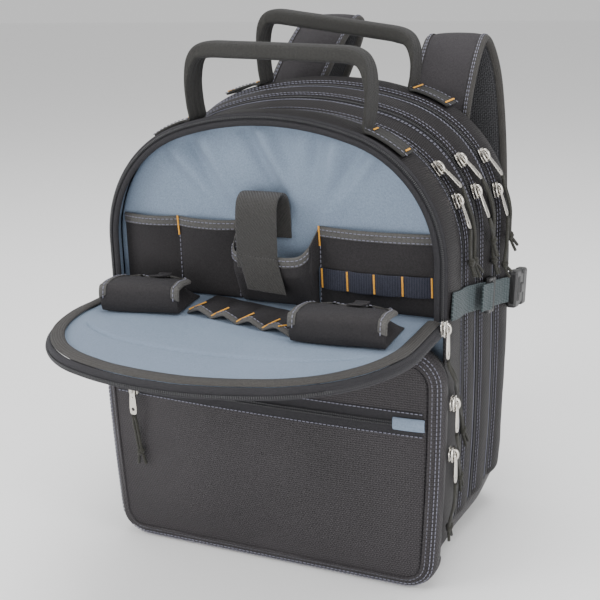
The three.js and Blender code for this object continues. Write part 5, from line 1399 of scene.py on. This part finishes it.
STRAPS = {
    "left": ((0.44, 0.001, 0.86), (0.4, 0.006, 0.95), (0.34, 0.05, 1.03), (0.24, 0.13, 1.12),
             (0.18, 0.22, 1.16),
             (0.21, 0.32, 1.12), (0.32, 0.37, 1.03), (0.5, 0.375, 0.88), (0.66, 0.34, 0.71),
             (0.76, 0.28, 0.54)),
    "right": ((0.58, 0.001, 0.86), (0.59, 0.006, 0.95), (0.605, 0.05, 1.02), (0.62, 0.13, 1.085),
              (0.635, 0.22, 1.115),
              (0.66, 0.31, 1.075), (0.69, 0.35, 1), (0.72, 0.36, 0.86), (0.745, 0.33, 0.7),
              (0.77, 0.28, 0.54))}
strap_nylon = woven("strap_nylon", (0.004, 0.0038, 0.004), (0.048, 0.0445, 0.048), 0.0008, relief=0.0003,
                    sheen=0.06,
                    cloud=0.25)
lower_web = woven("strap_webbing", (0.003, 0.003, 0.0035), (0.035, 0.034, 0.036), 0.0013, 0.0016, twill=0.5,
                  relief=0.0006, sheen=0.2, cloud=0.15)
moulded = mottled(plain_material("moulded_plastic", (0.012, 0.012, 0.013), 0.38), 900, 0.3, 0.55)
STRAP_BACK, STRAP_HALF, STRAP_PAD = 108.1, 31, 11  # start behind the bag, half width, padding

for side, sign in (("left", -1), ("right", 1)):
    points = [(sign * a * HALF_WIDTH, STRAP_BACK + b * BODY_DEPTH, c * HEIGHT) for a, b, c in STRAPS[side]]
    x, y, z = points[-1]
    points.append((x + sign * 3, y - 18, 175))
    line = smooth_line(points, 4)
    run = run_along(line)
    ripple = np.array([0.8 * noise.noise(Vector((s / 35, 0, 4 + sign))) for s in run])
    tangent = np.gradient(line, axis=0)
    up = np.cross(np.broadcast_to((1.0, 0, 0), line.shape), tangent)
    up /= np.linalg.norm(up, axis=1)[:, None]
    ends = np.clip(np.minimum(run, run[-1] - run) / 14, 0.25, 1) ** 0.5
    face = 1 if up[4 * len(line) // 10, 2] > 0 else -1
    thick = STRAP_PAD * ends + ripple
    rows_out = [line + np.array((1, 0, 0)) * STRAP_HALF * a + up * face * (thick / 2 * b)[:, None]
                for a, b in ((-1, 0.12), (-0.97, 0.42), (-0.86, 0.55), (-0.7, 0.88), (-0.35, 1.02),
                             (0, 1.06), (0.35, 1.02),
                             (0.7, 0.88), (0.86, 0.55), (0.97, 0.42), (1, 0.12))]
    rows_in = [line + np.array((1, 0, 0)) * STRAP_HALF * a + up * face * (-thick / 2 * b)[:, None]
               for a, b in ((-1, 0.12), (-0.97, 0.42), (-0.86, 0.55), (-0.7, 0.88), (-0.35, 1.0), (0, 1.04),
                            (0.35, 1.0),
                            (0.7, 0.88), (0.86, 0.55), (0.97, 0.42), (1, 0.12))]
    middle = [o * 0.42 + i * 0.58 for o, i in zip(rows_out, rows_in)]
    pad = closed_shell("shoulder_strap_%s_nylon" % side, np.array(rows_out), np.array(middle), strap_nylon)
    soften(pad)
    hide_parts("shoulder_strap_" + side)
    inner = closed_shell("shoulder_strap_%s_mesh" % side, np.array(middle) - up * face * 0.2,
                         np.array(rows_in), air_mesh)
    soften(inner)
    for a in (-1, 1):
        rolled = [line + np.array((1, 0, 0)) * STRAP_HALF * a * b + up * face * (thick / 2)[:, None] * c
                  + up * face * d
                  for b, c, d in ((0.80, 0.66, 0.5), (0.86, 0.55, 1.1), (0.95, 0.45, 1.2), (1.01, 0.2, 0.9),
                                  (1.03, 0, 0),
                                  (1.01, -0.2, -0.9), (0.95, -0.45, -1.2), (0.86, -0.55, -1.1),
                                  (0.80, -0.66, -0.5))]
        cloth("shoulder_strap_%s_binding_%d" % (side, (a + 3) // 2), np.array(rolled),
              line.mean(0) + (a * 900, 0, 0),
              0.5, rim_binding)
        for b, lift in ((0.90, 0.48), (0.84, 0.52)):
            stitch(line + np.array((1, 0, 0)) * STRAP_HALF * a * b
                   + up * face * (thick / 2 * lift + 1.3)[:, None], up * face, 0.2)
    seam = np.array((sign * 132, 103.8, 50.0))
    top = np.array(points[-1]) + (0, 0, -0.6)
    low = [top + (0, 0, 6), top, top + (seam - top) * 0.3, top + (seam - top) * 0.7 + (0, 4, 0),
           (sign * 132, 103.8, 68), seam]
    web_line = smooth_line(low, 3)
    lower = strap("lower_strap_%s_web" % side, web_line, (1, 0, 0), 25, 2.2, lower_web,
                  "lower_strap_" + side)
    way = (seam - top) / np.linalg.norm(seam - top)
    at = top + (seam - top) * 0.12
    parts = []
    for shift, size in ((-13, 5), (-3, 4), (6, 4), (13.5, 5)):
        across_line = np.array([at + way * shift + (d, 0, 0) for d in np.linspace(-17.5, 17.5, 6)])
        parts.append(tube(across_line, size / 2, 10, up=(0, 1, 0)))
    for d in (-16.5, 16.5):
        rail = np.array([at + way * s + (d, 0, 0) for s in np.linspace(-15, 15, 8)])
        parts.append(tube(rail, 2.6, 10, up=(0, 1, 0)))
    points, faces, uvs = merged(parts)
    new_piece("lower_strap_%s_adjuster" % side, points, faces, moulded, uvs=uvs)
    tail = [at + (0, 5.5, 0) + way * s + np.array((0, 1, 0)) * (s / 70) * 6 for s in (4, 20, 45, 70)]
    strap("lower_strap_%s_tail" % side, smooth_line(tail, 3), (1, 0, 0), 25, 2.0, lower_web)

# Side straps.
# Grey webbing from the rim over the side, through a slide and into a side-release buckle, then
# round to the back. The slide's webbing is doubled back over its front bar.

side_web = woven("side_webbing", (0.013, 0.019, 0.021), (0.070, 0.088, 0.092), 0.0017, 0.0050, relief=0.0008,
                 sheen=0.1, cloud=0.12)


def side_z(y):
    return 265 - 0.17 * (y + 92)


def side_x(y, lift):
    w, _, _ = section_at(y)
    bulge = 0
    for y0, y1, b in ((-92, -35.28, 4), (-27.28, -0.32, 2.5), (7.68, 39.24, 3), (47.24, 92, 6.5)):
        if y0 <= y <= y1:
            bulge = b * (1 - abs((2 * (y - y0)) / (y1 - y0) - 1) ** 2.2)
    return w - lean_at(side_z(y)) + max(bulge, 2.8) + 0.4 + lift


def rounded_box(centre, size, edge, along):
    """A box with rounded edges; along is the way its length runs."""
    made = bmesh.new()
    bmesh.ops.create_cube(made, size=1)
    bmesh.ops.scale(made, vec=Vector(size), verts=made.verts)
    bmesh.ops.bevel(made, geom=made.edges[:], offset=edge, segments=3, affect="EDGES", profile=0.5)
    along = Vector(along).normalized()
    basis = Matrix((Vector((1, 0, 0)), along, Vector((1, 0, 0)).cross(along))).transposed()
    points = [np.array(centre) + np.array(basis @ v.co) for v in made.verts]
    faces = [tuple(v.index for v in face.verts) for face in made.faces]
    made.free()
    return points, faces, [(p[1], p[2]) for p in points]


for side, sign in (("right", 1), ("left", -1)):
    flip = np.array((sign, 1, 1))
    ys = np.concatenate([np.linspace(-86, 60, 44), [65, 68]])
    web = [np.array((side_x(y, 1.2 if y < 0 else 2.6), y, side_z(y))) * flip for y in ys]
    strap("side_webbing_%s_web" % side, web, (0, 0.17, 1), 25, 2.2, side_web, "side_webbing_" + side)
    raised = side_x(23, 3)
    slope = np.array((0, 1, -0.17)) / math.hypot(1, 0.17)
    centre = np.array((raised, 17, side_z(17)))
    doubled = [centre + slope * s + (dx, 0, 0) for s,
               dx in ((-34, 1.4), (-20, 2.2), (-13, 3.6), (-9, 4.4), (-5.5, 3.6), (-4, 1.0))]
    strap("side_loop_" + side, [p * flip for p in smooth_line(doubled, 1.6)], (0, 0.17, 1), 25, 2.0, side_web)
    frame_parts = []
    for s, size in ((-8.4, (4.6, 3.4, 33)), (0.5, (4.2, 3.6, 33)), (8.4, (5.2, 3.6, 33))):
        frame_parts.append(rounded_box(centre + slope * s + (0.8 if s == 0.5 else 0, 0, 0), size, 1.1, slope))
    for d in (-15, 15):
        frame_parts.append(rounded_box(centre + np.array((0, 0.17, 1)) * d / math.hypot(1, 0.17),
                                       (5, 20, 3.6), 1.1, slope))
    points, faces, uvs = merged(frame_parts)
    slide = new_piece("side_slide_%s_frame" % side, [p * flip for p in points], faces, moulded, uvs=uvs,
                      smooth=False)
    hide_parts("side_slide_" + side)
    mid = np.array((side_x(69.6, 5.2), 92, side_z(92)))
    parts = [rounded_box(mid - slope * 14, (9.6, 18, 37), 2.4, slope),
             rounded_box(mid + slope * 1, (8.6, 16, 31), 2.2, slope),
             rounded_box(mid + slope * 14, (9.8, 17, 37), 2.6, slope),
             rounded_box(mid - slope * 20.5 + (0.5, 0, 0), (8.5, 5, 32), 1.6, slope),
             rounded_box(mid - slope * 1 + (2.4, 0, 0), (7.5, 12, 10), 2.0, slope)]
    for d in (-14.5, 14.5):
        parts.append(rounded_box(mid + slope * 2 + np.array((0, 0.17, 1)) * d, (6.4, 15, 5.5), 1.8, slope))
    for s in (-18, -15.5, -13, -10.5):
        parts.append(rounded_box(mid + slope * s + (4.6, 0, 0), (1.4, 1.1, 24), 0.35, slope))
    points, faces, uvs = merged(parts)
    buckle = new_piece("side_buckle_%s_body" % side, [p * flip for p in points], faces, moulded, uvs=uvs,
                       smooth=False)
    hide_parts("side_buckle_" + side)
    edge_x = section_at(92)[0]
    rear = mid + slope * 21
    round_line = [rear, rear + (-1, 3.5, -0.5), (edge_x + 3, 106.5, rear[2] - 1),
                  (edge_x - 6, 104.4, rear[2] - 1),
                  (edge_x - 40, 104, rear[2] - 1)]
    strap("side_rear_" + side, [p * flip for p in smooth_line(round_line, 2)], (0, 0, 1), 25, 2.2, side_web)

# Stitches and bartacks.
# Every row of topstitching on the bag is lavender thread; every loop's end is tacked in orange.

stitch_tree = repeat_tree("stitches", stitch_thread)
repeated("topstitching", stitch_lines, stitch_tree, 0.0040, 0.0028, 0.0008, 0.0009)
tack_tree = repeat_tree("tacks", orange_thread)
repeated("bartacks", tack_lines, tack_tree, 0.0007, 0.0007, 0.0016, 0.0013)
